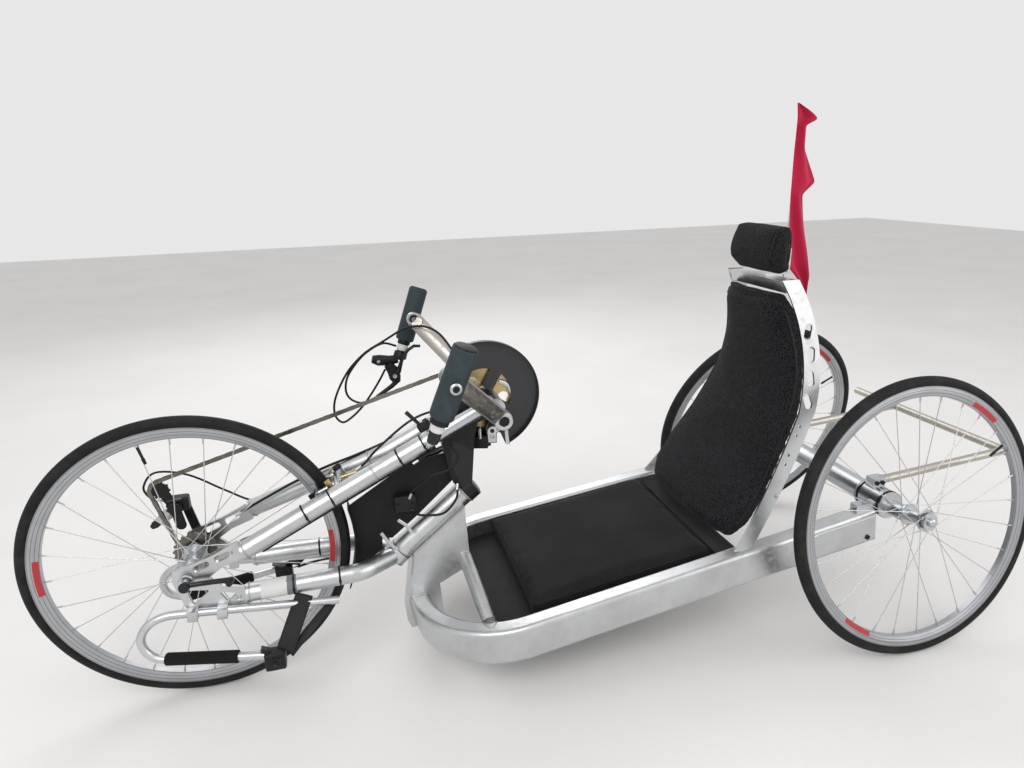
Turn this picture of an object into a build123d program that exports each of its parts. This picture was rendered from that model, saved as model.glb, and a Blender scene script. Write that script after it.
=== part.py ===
from build123d import *
import os
from math import asin, cos, degrees, radians, sin, tan

os.makedirs("parts", exist_ok=True)

# Recumbent handcycle: one driven and steered wheel in front, two cambered wheels behind.
# Millimetres. +X forward, +Y to the rider's left, +Z up, origin on the floor at the middle of the length.
# A size called "back" is a distance behind the front hub, and "ahead" is a distance in front of it.

# Driving dimensions of the wheels and the stance
wheelbase = 1480.0
front_hub_x = 775.0
wheel_radius = 305.0
drawn_wheel_radius = 305.0  # the frame's heights are drawn over wheels of this radius
tyre_section_radius = 12.5
camber = 10.3
rear_hub_y = 287.0

# Clearances shared by all pieces
seat_gap = 0.3
close_gap = 0.1
bearing_gap = 0.05

# Rims and spokes
tyre_over_rim = 20.5
rim_edge_radius = wheel_radius - tyre_over_rim
rim_depth = 22.0
rim_half_width = 9.5
rim_inner_half_width = 5.5
spoke_count = 28
spoke_radius = 0.9
spoke_cross_angle = 62.0
spoke_rim_offset = 1.5
spoke_hole_in = 2.7

# Hubs
flange_radius = 24.0
flange_half_thickness = 1.5
barrel_radius = 14.0
front_axle_radius = 6.0
front_hub_half_length = 66.0
front_flange_left_y = 34.0
front_flange_right_y = -20.0
rear_stub_radius = 6.3
rear_hub_inner_length = 29.0
rear_hub_outer_length = 33.0
rear_flange_y = 22.0
rear_cap_radius = 18.0
rear_cap_length = 5.0
rear_button_radius = 9.0
rear_button_length = 3.0

# Cassette, one row per sprocket: radius, distance of its middle from the wheel's plane
cassette_rows = [(40.0, 31.0), (37.5, 35.2), (35.0, 39.4), (32.5, 43.6), (30.0, 47.8), (27.5, 52.0)]
sprocket_thickness = 1.8
cassette_core_radius = 19.0
cassette_core_start = 24.0
cassette_core_end = 56.0

# Steering head
head_low_back = 410.0
head_low_z = 254.0
head_angle = 38.8
head_length = 183.0
head_radius = 25.0
steerer_radius = 17.0
crown_radius = 27.0
crown_gap = 1.0
lower_crown_length = 23.0
upper_crown_length = 25.0

# Cranks
crank_back = 618.0
crank_z = 566.0
crank_length = 185.0
crank_rest_angle = 48.8
crank_root_y = 103.0
crank_tip_y = 240.0
crank_arm_width = 34.0
crank_arm_thickness = 14.0
crank_arm_edge = 6.0
crank_root_boss_radius = 19.0
crank_root_boss_half = 12.0
crank_tip_boss_radius = 15.0
crank_tip_boss_in = 10.0
crank_tip_boss_out = 6.0
crank_end_trim = 8.0
spindle_radius = 12.0
spindle_over = 8.0
pedal_pin_radius = 5.0
pin_cap_radius = 9.0
pin_cap_length = 3.0

# Hand grips, rows along the grip's own axis: radius, height over the pedal pin
grip_y = 277.0
grip_lean_back = 20.4
grip_lean_out = 7.6
grip_rows = [(17.0, 68.0), (20.0, 64.0), (21.0, 20.0), (22.0, -50.0), (19.0, -62.0), (14.0, -64.0), (14.0, -71.0),
             (12.0, -71.5), (12.0, -86.0), (8.5, -88.0), (8.5, -110.0)]
grip_pin_reach = 23.0

# Brake lever at the right grip, rows: back, z
lever_rows = [(500.0, 641.0), (455.0, 634.0), (434.0, 504.0)]
lever_y = -252.0
lever_radius = 5.5
lever_bend = 24.0
lever_clamp_back = 474.0

# Drive: chain plane, rings and pulleys
chain_y = -52.0
chain_half_width = 3.2
chain_height = 8.0
ring_radius = 74.0
big_ring_radius = 98.0
big_ring_offset = 8.0
ring_thickness = 2.5
ring_bore_radius = 60.0
spider_radius = 64.0
spider_holes = 5
spider_hole_radius = 12.5
spider_hole_at = 42.0
carrier_radius = 20.0
pulley_radius = 16.0
pulley_ahead = 48.0
pulley_z = 440.0
low_pulley_radius = 12.0
low_pulley_ahead = 30.0
low_pulley_z = 398.0
pulley_thickness = 3.0

# Chain guard: plate and flange round the rear of the rings
guard_back = 612.0
guard_radius = 124.0
guard_inner_radius = 62.0
guard_thickness = 1.5
guard_flange_width = 12.0
guard_start_angle = 58.0
guard_end_angle = -112.0
guard_tab_angles = (120.0, 215.0)
guard_tab_width = 27.0
shell_radius = 22.0
shell_half_length = 42.8

# Side rails: one tube each, bent in to the nose
rail_width = 40.0
rail_height = 78.0
rail_corner_radius = 9.0
rail_tilt = 8.0
rail_ref_back = 900.0
rail_ref_z = 178.0
rail_rear_back = 1436.0
rail_rear_y = 206.0
rail_front_y = 221.0
rail_nose_back = 441.0
rail_bend_radius = 195.0

# Nose box below the steering head, and its braces
nose_half_width = 34.0
nose_front_over = 34.0
nose_front_rise = 22.0
nose_low_cut = 8.0
nose_under = 2.0
nose_rear_back = 483.0
nose_shoulder_rise = 22.0
nose_knee_back = 551.0
nose_knee_z = 250.0
nose_foot_z = 206.0
nose_head_in = 18.0
brace_radius = 15.0
brace_top_back = 541.0
brace_top_z = 228.0
brace_top_y = 26.0
brace_low_back = 556.0
brace_low_y = 150.0
brace_low_z = 176.0

# Rear axle, its clamps, the bumper bar and the struts
axle_z = 291.0
axle_tube_radius = 25.0
clamp_radius = 31.0
clamp_inner_y = 140.0
clamp_outer_y = 214.0
clamp_neck_radius = 17.0
clamp_neck_length = 44.0
clamp_saddle_front = 38.0
clamp_saddle_low = 16.0
clamp_saddle_high = 8.0
pinch_y = 166.0
pinch_half_width = 12.0
pinch_front = 18.0
pinch_rear = 14.0
pinch_top_z = 341.0
bumper_back = 1845.0
bumper_z = 355.0
bumper_half_length = 312.0
bumper_radius = 10.0
strut_radius = 9.5
strut_front_z = 331.0

# Seat pan, cushion and sling
pan_front_back = 580.0
pan_rear_back = 1125.0
pan_thickness = 3.0
pan_drop = 44.0
cushion_front_back = 648.0
cushion_rear_back = 1064.0
cushion_thickness = 50.0
cushion_edge = 10.0
sling_front_back = 1070.0
sling_rear_back = 1116.0
sling_thickness = 3.0
sling_drop = 12.0

# Backrest, rows of the side plates' rear edge from foot to top: back, z
back_rows = [(1128.0, 246.0), (1222.0, 385.0), (1296.0, 520.0), (1309.0, 652.0), (1264.0, 796.0)]
plate_width = 40.0
plate_thickness = 4.0
plate_lean = 11.7
plate_foot_y = 212.0
plate_side_margin = 50.0
# Slots in the side plates, rows: back, z, turn; and holes, rows: back, z
slot_rows = [(1282.0, 688.0, 104.0), (1289.0, 640.0, 94.0), (1286.0, 590.0, 84.0), (1277.0, 542.0, 74.0)]
slot_length = 34.0
slot_width = 17.0
hole_rows = [(1255.0, 492.0), (1246.0, 474.0), (1226.0, 434.0), (1217.0, 416.0)]
hole_radius = 3.5
cross_low_z = 768.0
cross_high_z = 794.0

# Back pad, rows of its outline seen from the front: z, half width
pad_thickness = 42.0
pad_rows = [(256.0, 178.0), (296.0, 204.0), (345.0, 203.0), (470.0, 177.0), (610.0, 150.0), (738.0, 119.0), (772.0, 92.0)]

# Headrest, rows of its side outline: back, z
headrest_rows = [(1264.0, 808.0), (1236.0, 800.0), (1207.0, 829.0), (1206.0, 858.0), (1222.0, 903.0), (1256.0, 905.0),
                 (1264.0, 882.0)]
headrest_half_width = 78.0
headrest_edge = 10.0
bracket_half_width = 22.0
bracket_rear_back = 1300.0
bracket_front_back = 1240.0
bracket_top_z = 850.0
bracket_plate = 4.5
bracket_arm_height = 16.0

# Flag on its pole behind the headrest, rows of the flag's outline: back, z
pole_low_z = 760.0
pole_high_z = 1140.0
pole_radius = 2.5
flag_thickness = 6.0
flag_rows = [(1288.0, 1147.0), (1345.0, 1112.0), (1314.0, 1104.0), (1323.0, 1053.0), (1357.0, 986.0), (1328.0, 962.0),
             (1346.0, 863.0), (1361.0, 785.0), (1363.0, 716.0), (1342.0, 770.0), (1302.0, 810.0), (1302.0, 856.0),
             (1295.0, 960.0), (1292.0, 1060.0)]

# Fork tubes, points: back, half spacing, z
fork_radius = 18.5
fork_bend_radius = 90.0
upper_fork_low = (108.0, 88.0, 356.0)
upper_fork_bend = (392.0, 33.0, 469.0)
upper_fork_end_back = 484.0
boom_radius = 15.0
boom_lift = 13.0
lower_fork_low = (100.0, 66.0, 252.0)
lower_fork_bend = (322.0, 62.0, 252.0)
lower_fork_crown_y = 14.0
crown_bend_radius = 60.0
cable_radius = 2.5
cable_start_in = 30.0

# Mast between the steering head and the crank shell, rows: back, z
mast_half_width = 17.4
mast_rows = [(546.0, 366.0), (531.0, 388.0), (520.0, 432.0), (509.0, 491.0), (520.0, 560.0), (575.0, 600.0), (618.0, 590.0),
             (618.0, 545.0), (586.0, 530.0), (578.0, 500.0), (567.0, 380.0), (561.0, 362.0)]

# Dropouts, rows of the outline: ahead, over the hub
dropout_y = 72.0
dropout_thickness = 7.0
dropout_rows = [(24.0, 6.0), (20.0, 24.0), (-50.0, 46.0), (-104.0, 70.0), (-112.0, 34.0), (-66.0, 18.0), (-38.0, 0.0),
                (-60.0, -20.0), (-100.0, -32.0), (-104.0, -72.0), (-60.0, -68.0), (0.0, -68.0), (10.0, -52.0), (20.0, -14.0)]
dropout_corner = 3.0
# Slots in the upper limb and windows in the lower limb: ahead, over the hub
dropout_slots = [(-30.0, 27.0), (-70.0, 41.0)]
dropout_slot_length = 32.0
dropout_slot_width = 13.0
dropout_slot_turn = -20.0
dropout_windows = [[(4.0, -18.0), (-40.0, -26.0), (-6.0, -54.0)], [(-52.0, -32.0), (-86.0, -42.0), (-66.0, -58.0)]]
axle_over = 8.0
release_radius = 5.0
release_bend = 20.0
release_rows = [(5.0, 0.0, 0.0), (-30.0, 0.0, 0.0), (-76.0, -5.0, -5.0)]

# Brake at the front wheel, placed by its angle over the backward direction
brake_angle = 25.0
brake_bridge_over_tyre = 18.0
brake_bridge_at = wheel_radius + brake_bridge_over_tyre
brake_bridge_radius = 6.5
brake_arm_radius = 5.0
brake_arm_y = 23.0
brake_arm_bend = 10.0
brake_pad_in = 6.5
brake_pad_at = rim_edge_radius - brake_pad_in
brake_pad_height = 9.0
brake_pad_thickness = 5.5
brake_pad_length = 34.0
brake_pad_gap = 1.6
brake_body_length = 34.0
brake_body_radius = 11.0

# Splash guard behind the front wheel: a curved band and a web behind it, web rows: back, z
band_over_tyre = 9.0
band_radius = wheel_radius + band_over_tyre
band_thickness = 2.5
band_half_width = 22.0
band_low_angle = -28.0
band_high_angle = 13.0
web_half_thickness = 1.5
web_clearance = 32.0
web_low_rows = [(279.0, 160.0), (298.0, 122.0), (340.0, 108.0), (372.0, 180.0), (366.0, 228.0), (372.0, 296.0),
                (310.0, 305.0)]
web_high_rows = [(310.0, 300.0), (392.0, 284.0), (450.0, 330.0), (540.0, 410.0), (540.0, 470.0), (440.0, 452.0),
                 (384.0, 420.0), (306.0, 372.0)]

# Cable box over the steering head
box_front_back = 402.0
box_rear_back = 446.0
box_low_z = 352.0
box_high_z = 388.0
box_width = 22.0
box_edge = 2.0

# Rear derailleur over the hub
hanger_radius = 9.0
hanger_thickness = 5.0
hanger_top_ahead = 18.0
gear_body_rear_ahead = 4.0
gear_body_front_ahead = 46.0
gear_body_low_z = 384.0
gear_body_high_z = 414.0
gear_body_depth = 24.0
cage_thickness = 2.0
cage_radius = 10.0
cage_low_ahead = 24.0
cage_low_z = 356.0

# Front derailleur below the rings
front_cage_front_back = 592.0
front_cage_rear_back = 640.0
front_cage_low_z = 454.0
front_cage_high_z = 490.0
front_cage_inner_y = -43.2
front_cage_outer_y = -67.5
front_cage_thickness = 1.6
front_arm_radius = 6.0
front_arm_y = -35.0

# Foot supports, rows of each loop: ahead, y, z
loop_radius = 7.0
loop_bend = 24.0
loop_rows = [(-272.0, 88.0, 214.0), (56.0, 88.0, 248.0), (94.0, 92.0, 205.0), (60.0, 100.0, 160.0), (-136.0, 150.0, 162.0)]
loop_clamp_ahead = (-4.0, -56.0)
loop_clamp_half = 12.0
loop_clamp_height = 20.0
sleeve_radius = 11.5
sleeve_from = 0.10
sleeve_to = 0.69
heel_ahead = -146.0
heel_y = 150.0
heel_z = 152.0
heel_length = 38.0
heel_width = 26.0
heel_edge = 2.5
# Straps, rows: upper end (ahead, y, z), lower end (ahead, y, z), width
strap_thickness = 2.5
strap_rows = [((-216.0, 80.0, 232.0), (-146.0, 150.0, 173.0), 38.0), ((-262.0, 94.0, 204.0), (-168.0, 150.0, 156.0), 16.0)]


def back(distance):
    """X of a point that lies behind the front hub."""
    return front_hub_x - distance


def rod(start, end, radius):
    """Round bar between two points."""
    a = Vector(*start)
    b = Vector(*end)
    return Plane(origin=a, z_dir=b - a) * extrude(Circle(radius), amount=(b - a).length)


def ring_rod(start, end, outer, inner):
    """Round tube between two points."""
    a = Vector(*start)
    b = Vector(*end)
    return Plane(origin=a, z_dir=b - a) * extrude(Circle(outer) - Circle(inner), amount=(b - a).length)


def bent_tube(points, radius, bends):
    """Round bar along straight runs joined by arcs."""
    path = FilletPolyline(*points, radius=bends)
    return sweep(Plane(origin=path @ 0, z_dir=path % 0) * Circle(radius), path=path)


def block(x_range, y_range, z_range):
    """Box between two limits on each axis."""
    size = [max(limits) - min(limits) for limits in (x_range, y_range, z_range)]
    middle = [(max(limits) + min(limits)) / 2 for limits in (x_range, y_range, z_range)]
    return Pos(*middle) * Box(*size)


def prism(face, y_from, y_to):
    """Extrude a face drawn as (x, z) between two Y values."""
    turned = Plane(origin=(0, y_from, 0), x_dir=(1, 0, 0), z_dir=(0, -1, 0)) * face
    return extrude(turned, amount=y_from - y_to)


def side_plate(points, y_from, y_to, corner=0.0):
    """Plate with its outline given as (x, z) points, between two Y values."""
    face = make_face(Polyline(*points, close=True))
    if corner:
        face = fillet(face.vertices(), corner)
    return prism(face, y_from, y_to)


def behind(rows):
    """Turn rows of (back, z) into (x, z) points."""
    return [(back(row[0]), row[1]) for row in rows]


def disc(x, y, z, outer, inner, thickness):
    """Flat ring across the Y axis."""
    flat = Cylinder(outer, thickness)
    if inner:
        flat -= Cylinder(inner, thickness)
    return Pos(x, y, z) * Rot(90, 0, 0) * flat


def largest(shape):
    """The biggest solid of a shape."""
    return shape.solids().sort_by(SortBy.VOLUME)[-1]


def other_side(shape):
    """The shape's mirror image on the other side of the middle plane."""
    return mirror(shape, about=Plane.XZ)


def both_sides(*shapes):
    """The shapes and their mirror images, as separate solids."""
    solids = [solid for shape in shapes for solid in shape.solids()]
    return Compound(solids + [solid for item in solids for solid in other_side(item).solids()])


def hub_height(radius):
    """Height of a leaning rear wheel's hub over the floor."""
    return (radius - tyre_section_radius) * cos(radians(camber)) + tyre_section_radius


def frame_stance():
    """Location that sets the frame, drawn over wheels of its own radius, on the hubs of the wheels it gets."""
    rear_lift = hub_height(wheel_radius) - hub_height(drawn_wheel_radius)
    front_lift = wheel_radius - drawn_wheel_radius
    pitch = degrees(asin((rear_lift - front_lift) / wheelbase))
    seat = Location((rear_hub_x, 0, hub_height(wheel_radius)), (0, pitch, 0))
    return seat * Location((-rear_hub_x, 0, -hub_height(drawn_wheel_radius)))


def save(shape, node, place=None):
    """Write one node's solids to its own file: at a wheel's place, or else as the frame stands."""
    solids = [(place or stance) * solid for solid in shape.solids()]
    whole = solids[0] if len(solids) == 1 else Compound(solids)
    whole.label = node
    export_step(whole, os.path.join("parts", node + ".step"))


rear_hub_x = back(wheelbase)
stance = frame_stance()

# Wheels, made about the Y axis and then moved to their hubs

def revolved(outline):
    """Ring or hub from an outline of (radius, y) points turned about the Y axis."""
    face = make_face(Polyline(*[(r, y, 0) for r, y in outline], close=True))
    return revolve(face, axis=Axis.Y)


def make_tyre():
    """Round tyre with a flat bed that sits on the rim's edges."""
    section = Pos(wheel_radius - tyre_section_radius, 0, 0) * Circle(tyre_section_radius)
    bed = Pos(rim_edge_radius + seat_gap / 2 + wheel_radius, 0, 0) * Rectangle(2 * wheel_radius, wheel_radius)
    return revolve(section & bed, axis=Axis.Y)


def make_rim():
    """Rim with brake flanks that narrows to its spoke bed."""
    inner = rim_edge_radius - rim_depth
    knee = rim_edge_radius - rim_depth / 2
    return revolved([
        (rim_edge_radius, -rim_half_width), (rim_edge_radius, rim_half_width),
        (knee, rim_half_width), (inner, rim_inner_half_width),
        (inner, -rim_inner_half_width), (knee, -rim_half_width)])


def make_spokes(flange_ys):
    """Crossed spokes from both flanges to the rim, as separate bars."""
    bars = []
    rim_at = rim_edge_radius - rim_depth - seat_gap
    hole_at = flange_radius - spoke_hole_in
    for number in range(spoke_count):
        flange_y = flange_ys[number % 2]
        outward = 1 if flange_y > 0 else -1
        lean = 1 if (number // 2) % 2 == 0 else -1
        rim_turn = radians(360.0 * number / spoke_count)
        hub_turn = rim_turn + lean * radians(spoke_cross_angle)
        lift = flange_half_thickness + spoke_radius + seat_gap + (spoke_radius if lean > 0 else 0.0)
        hub_end = (hole_at * cos(hub_turn), flange_y + outward * lean * lift, hole_at * sin(hub_turn))
        rim_end = (rim_at * cos(rim_turn), outward * spoke_rim_offset, rim_at * sin(rim_turn))
        bars.append(rod(hub_end, rim_end, spoke_radius))
    return Compound(bars)


def hub_outline(flange_ys, inner_end, outer_end, bore):
    """Outline of a hub with two flanges, bored for its axle."""
    rows = [(bore, inner_end), (barrel_radius, inner_end)]
    for y in sorted(flange_ys):
        low = y - flange_half_thickness
        high = y + flange_half_thickness
        rows += [(barrel_radius, low), (flange_radius, low), (flange_radius, high), (barrel_radius, high)]
    return rows + [(barrel_radius, outer_end), (bore, outer_end)]


def rear_place(side, radius):
    """Location of a rear wheel of a radius: side is 1 on the left and -1 on the right."""
    return Location((rear_hub_x, side * rear_hub_y, hub_height(radius)), (side * camber, 0, 0))


front_place = Location((front_hub_x, 0, wheel_radius))
tyre = make_tyre()
rim = make_rim()
front_flanges = (front_flange_right_y, front_flange_left_y)
front_bore = front_axle_radius + bearing_gap
front_hub = revolved(hub_outline(front_flanges, -front_hub_half_length, front_hub_half_length, front_bore))
core_bore = barrel_radius + close_gap
cassette = revolved([(core_bore, -cassette_core_start), (cassette_core_radius, -cassette_core_start),
                     (cassette_core_radius, -cassette_core_end), (core_bore, -cassette_core_end)])
for radius, from_plane in cassette_rows:
    cassette += disc(0, -from_plane, 0, radius, cassette_core_radius - close_gap, sprocket_thickness)
save(tyre, "front_tyre", front_place)
save(rim, "front_rim", front_place)
save(make_spokes(front_flanges), "front_spokes", front_place)
save(front_hub, "front_hub", front_place)
save(cassette, "cassette", front_place)

rear_flanges = (-rear_flange_y, rear_flange_y)
rear_bore = rear_stub_radius + bearing_gap
rear_hub = revolved(hub_outline(rear_flanges, -rear_hub_inner_length, rear_hub_outer_length, rear_bore))
cap_from = rear_hub_outer_length - rear_cap_length
rear_hub += revolved([(rear_bore, cap_from), (rear_cap_radius, cap_from), (rear_cap_radius, rear_hub_outer_length),
                      (rear_bore, rear_hub_outer_length)])
rear_spokes = make_spokes(rear_flanges)
for side, name in ((1, "left"), (-1, "right")):
    place = rear_place(side, wheel_radius)
    outward_hub = Rot(0, 0, 90 - 90 * side) * rear_hub
    save(tyre, "rear_tyre_" + name, place)
    save(rim, "rear_rim_" + name, place)
    save(rear_spokes, "rear_spokes_" + name, place)
    save(outward_hub, "rear_hub_" + name, place)

# Main frame: two side rails bent in to a nose box that carries the steering head

tilt = radians(rail_tilt)
rail_plane = Plane(origin=(back(rail_ref_back), 0, rail_ref_z), x_dir=(cos(tilt), 0, -sin(tilt)), z_dir=(sin(tilt), 0, cos(tilt)))


def along_rails(x):
    """Distance along the rails' plane of a point at a given X."""
    return (x - back(rail_ref_back)) / cos(tilt)


def on_rail_plane(x, y):
    """Point of the rails' tilted middle plane at a given X and Y."""
    return rail_plane.from_local_coords(Vector(along_rails(x), y, 0))


def rail_top_z(x):
    """Height of the rails' upper face at a given X."""
    return on_rail_plane(x, 0).Z + rail_height / 2 / cos(tilt)


def rail_inner_y(x):
    """Inner face of the left rail's straight run at a given X."""
    share = (back(rail_nose_back) - x) / (rail_rear_back - rail_nose_back)
    return rail_front_y + share * (rail_rear_y - rail_front_y) - rail_width / 2


def make_rail():
    """Left rail: straight from the rear, then one wide bend in to the nose box."""
    nose_x = back(rail_nose_back)
    corner = on_rail_plane(nose_x, rail_front_y)
    rear = on_rail_plane(back(rail_rear_back), rail_rear_y)
    beyond = on_rail_plane(nose_x, -rail_front_y)
    path = FilletPolyline(rear, corner, beyond, radius=rail_bend_radius)
    start = Plane(origin=path @ 0, x_dir=rail_plane.z_dir, z_dir=path % 0)
    section = start * RectangleRounded(rail_height, rail_width, rail_corner_radius)
    reach = 2 * rail_front_y
    cut = block((nose_x - reach, nose_x + reach), (-reach, nose_half_width), (rail_ref_z - reach, rail_ref_z + reach))
    return sweep(section, path=path) - cut


def tilted_slab(x_from, x_to, half_width, low, high):
    """Box lying along the rails, between two X values and two heights off the rails' middle plane."""
    ends = (along_rails(x_from), along_rails(x_to))
    slab = Box(max(ends) - min(ends), 2 * half_width, high - low)
    return rail_plane * (Pos(sum(ends) / 2, 0, (low + high) / 2) * slab)


rail = make_rail()
rail_right = other_side(rail)
save(rail, "rail_left")
save(rail_right, "rail_right")

# Steering head
head_turn = radians(head_angle)
head_low = Vector(back(head_low_back), 0, head_low_z)
head_dir = Vector(-cos(head_turn), 0, sin(head_turn))
head_under = Vector(-sin(head_turn), 0, -cos(head_turn))


def on_head(distance, under=0.0):
    """Point on the steering axis, measured up from the head tube's lower end, moved square to it."""
    return head_low + head_dir * distance + head_under * under


head_bore = steerer_radius + bearing_gap
save(ring_rod(on_head(0), on_head(head_length), head_radius, head_bore), "head_tube")

# Nose box, with the web behind it
nose_x = back(rail_nose_back)
nose_low_z = rail_top_z(nose_x) - rail_height - nose_under
nose_rear_x = back(nose_rear_back)
nose_knee_x = back(nose_knee_back)
under_front = on_head(nose_head_in, head_radius / 2)
under_rear = on_head(head_length - nose_head_in, head_radius / 2)
nose_points = [
    (under_front.X, under_front.Z), (nose_x + nose_front_over, nose_low_z + nose_front_rise),
    (nose_x + nose_front_over - nose_low_cut, nose_low_z), (nose_rear_x - nose_low_cut, nose_low_z + nose_under),
    (nose_rear_x, nose_low_z + rail_height + nose_shoulder_rise), (nose_knee_x, nose_foot_z),
    (nose_knee_x, nose_knee_z), (under_rear.X, under_rear.Z)]
nose_box = side_plate(nose_points, -nose_half_width, nose_half_width)
nose_box = largest(nose_box - rod(on_head(-head_length), on_head(2 * head_length), head_radius + close_gap))
save(nose_box, "nose_box")

# Braces from the nose box down to the bend of each rail
brace = rod((back(brace_top_back), brace_top_y, brace_top_z), (back(brace_low_back), brace_low_y, brace_low_z), brace_radius)
save(both_sides(largest(brace - rail - nose_box)), "nose_braces")

# Seat pan between the rails, the cushion on it and the sling behind the cushion
pan_top = rail_height / 2 - pan_drop
pan = tilted_slab(back(pan_front_back), back(pan_rear_back), rail_front_y, pan_top - pan_thickness, pan_top)
save(largest(pan - rail - rail_right), "seat_pan")

cushion_low = pan_top + seat_gap
cushion_half_width = rail_inner_y(back(cushion_rear_back)) - 2 * seat_gap
cushion = tilted_slab(back(cushion_front_back), back(cushion_rear_back), cushion_half_width, cushion_low,
                      cushion_low + cushion_thickness)
save(fillet(cushion.edges(), cushion_edge), "seat_cushion")

sling_top = rail_height / 2 - sling_drop
sling = tilted_slab(back(sling_front_back), back(sling_rear_back), rail_front_y, sling_top - sling_thickness, sling_top)
save(largest(sling - rail - rail_right), "seat_sling")

# Backrest: two side plates that lean in, a cross plate at the top and the pad in front of them
foot, foot_via, knee, knee_via, top = behind(back_rows)


def back_band(near, far):
    """Side outline between two distances forward of the plates' rear edge."""
    shifted = [[(x + ahead, z) for x, z in (foot, foot_via, knee, knee_via, top)] for ahead in (near, far)]
    edges = [Line(shifted[0][0], shifted[1][0]), Line(shifted[0][4], shifted[1][4])]
    for rows in shifted:
        edges.append(ThreePointArc(rows[0], rows[1], rows[2]))
        edges.append(ThreePointArc(rows[2], rows[3], rows[4]))
    return make_face(Wire(edges))


back_reach = plate_foot_y + plate_side_margin
back_block = largest(prism(back_band(0.0, plate_width), -back_reach, back_reach) - rail - rail_right)


def leaning_slab(inner, outer):
    """Slab that leans in as the side plates do, between two offsets from their inner faces."""
    slab = Pos(0, (inner + outer) / 2, 0) * Box(4 * wheelbase, outer - inner, 4 * wheelbase)
    return Pos(0, plate_foot_y, foot[1]) * Rot(plate_lean, 0, 0) * slab


back_plate = back_block & leaning_slab(0.0, plate_thickness)
for distance, z, turn in slot_rows:
    back_plate -= prism(Pos(back(distance), z) * Rot(0, 0, turn) * SlotOverall(slot_length, slot_width), 0.0, back_reach)
for distance, z in hole_rows:
    back_plate -= prism(Pos(back(distance), z) * Circle(hole_radius), 0.0, back_reach)
save(both_sides(largest(back_plate)), "back_plates")

cross_half = plate_foot_y - tan(radians(plate_lean)) * (cross_high_z - foot[1]) - seat_gap
cross = back_block & block((back(bumper_back), front_hub_x), (-cross_half, cross_half), (cross_low_z, cross_high_z))
save(cross, "back_cross_plate")

pad_near = plate_width + seat_gap
pad_block = prism(back_band(pad_near, pad_near + pad_thickness), -back_reach, back_reach)
pad_points = [(y, z) for z, y in pad_rows] + [(-y, z) for z, y in reversed(pad_rows)]
pad_plane = Plane(origin=(back(bumper_back), 0, 0), x_dir=(0, 1, 0), z_dir=(1, 0, 0))
pad = pad_block & extrude(pad_plane * make_face(Polyline(*pad_points, close=True)), amount=bumper_back)
save(largest(pad), "back_pad")

# Headrest on its bracket
headrest = side_plate(behind(headrest_rows), -headrest_half_width, headrest_half_width)
save(fillet(headrest.edges(), headrest_edge), "headrest_pad")
bracket_low = cross_high_z + close_gap
bracket_rear_x = back(bracket_rear_back)
bracket_y = (-bracket_half_width, bracket_half_width)
bracket = block((bracket_rear_x, back(bracket_front_back)), bracket_y, (bracket_low, bracket_low + bracket_plate))
bracket += block((bracket_rear_x, bracket_rear_x + bracket_plate), bracket_y, (bracket_low, bracket_top_z))
bracket += block((bracket_rear_x, back(headrest_rows[-1][0]) - seat_gap), (-bracket_plate, bracket_plate),
                 (bracket_top_z - bracket_arm_height, bracket_top_z))
save(bracket, "headrest_bracket")

# Flag and its pole, fixed to the bracket's rear face
pole_x = bracket_rear_x - pole_radius - close_gap
save(rod((pole_x, 0, pole_low_z), (pole_x, 0, pole_high_z), pole_radius), "flag_pole")
flag_y = pole_radius + seat_gap
save(side_plate(behind(flag_rows), flag_y, flag_y + flag_thickness), "flag")

# Rear axle: cross tube, clamp sleeves, and stubs into the hubs
axle_reach = clamp_inner_y - seat_gap
save(rod((rear_hub_x, -axle_reach, axle_z), (rear_hub_x, axle_reach, axle_z), axle_tube_radius), "axle_tube")


def on_left_hub(y):
    """Point on the left rear wheel's axis, measured outward from the wheel's plane."""
    return (rear_place(1, drawn_wheel_radius) * Pos(0, y, 0)).position


clamp = rod((rear_hub_x, clamp_inner_y, axle_z), (rear_hub_x, clamp_outer_y, axle_z), clamp_radius)
clamp += block((rear_hub_x, back(rail_rear_back) + clamp_saddle_front), (rail_rear_y - rail_width / 2, rail_rear_y),
               (axle_z - clamp_saddle_low, axle_z + clamp_saddle_high)) - rail
neck_end = -rear_hub_inner_length - seat_gap
clamp += rod(on_left_hub(neck_end - clamp_neck_length), on_left_hub(neck_end), clamp_neck_radius)
clamp += block((rear_hub_x - pinch_rear, rear_hub_x + pinch_front), (pinch_y - pinch_half_width, pinch_y + pinch_half_width),
               (axle_z, pinch_top_z))
clamp = largest(clamp - rail)
save(both_sides(clamp), "axle_clamps")
stub_end = rear_hub_outer_length + seat_gap
stub = rod(on_left_hub(neck_end), on_left_hub(stub_end), rear_stub_radius)
stub += rod(on_left_hub(stub_end), on_left_hub(stub_end + rear_button_length), rear_button_radius)
save(both_sides(stub), "axle_stubs")

# Bumper bar behind the wheels on two struts
bumper_x = back(bumper_back)
bumper = rod((bumper_x, -bumper_half_length, bumper_z), (bumper_x, bumper_half_length, bumper_z), bumper_radius)
strut = rod((bumper_x, pinch_y, bumper_z), (rear_hub_x - pinch_rear - close_gap, pinch_y, strut_front_z), strut_radius)
save(bumper, "bumper_bar")
save(both_sides(largest(strut - bumper - clamp)), "bumper_struts")

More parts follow.
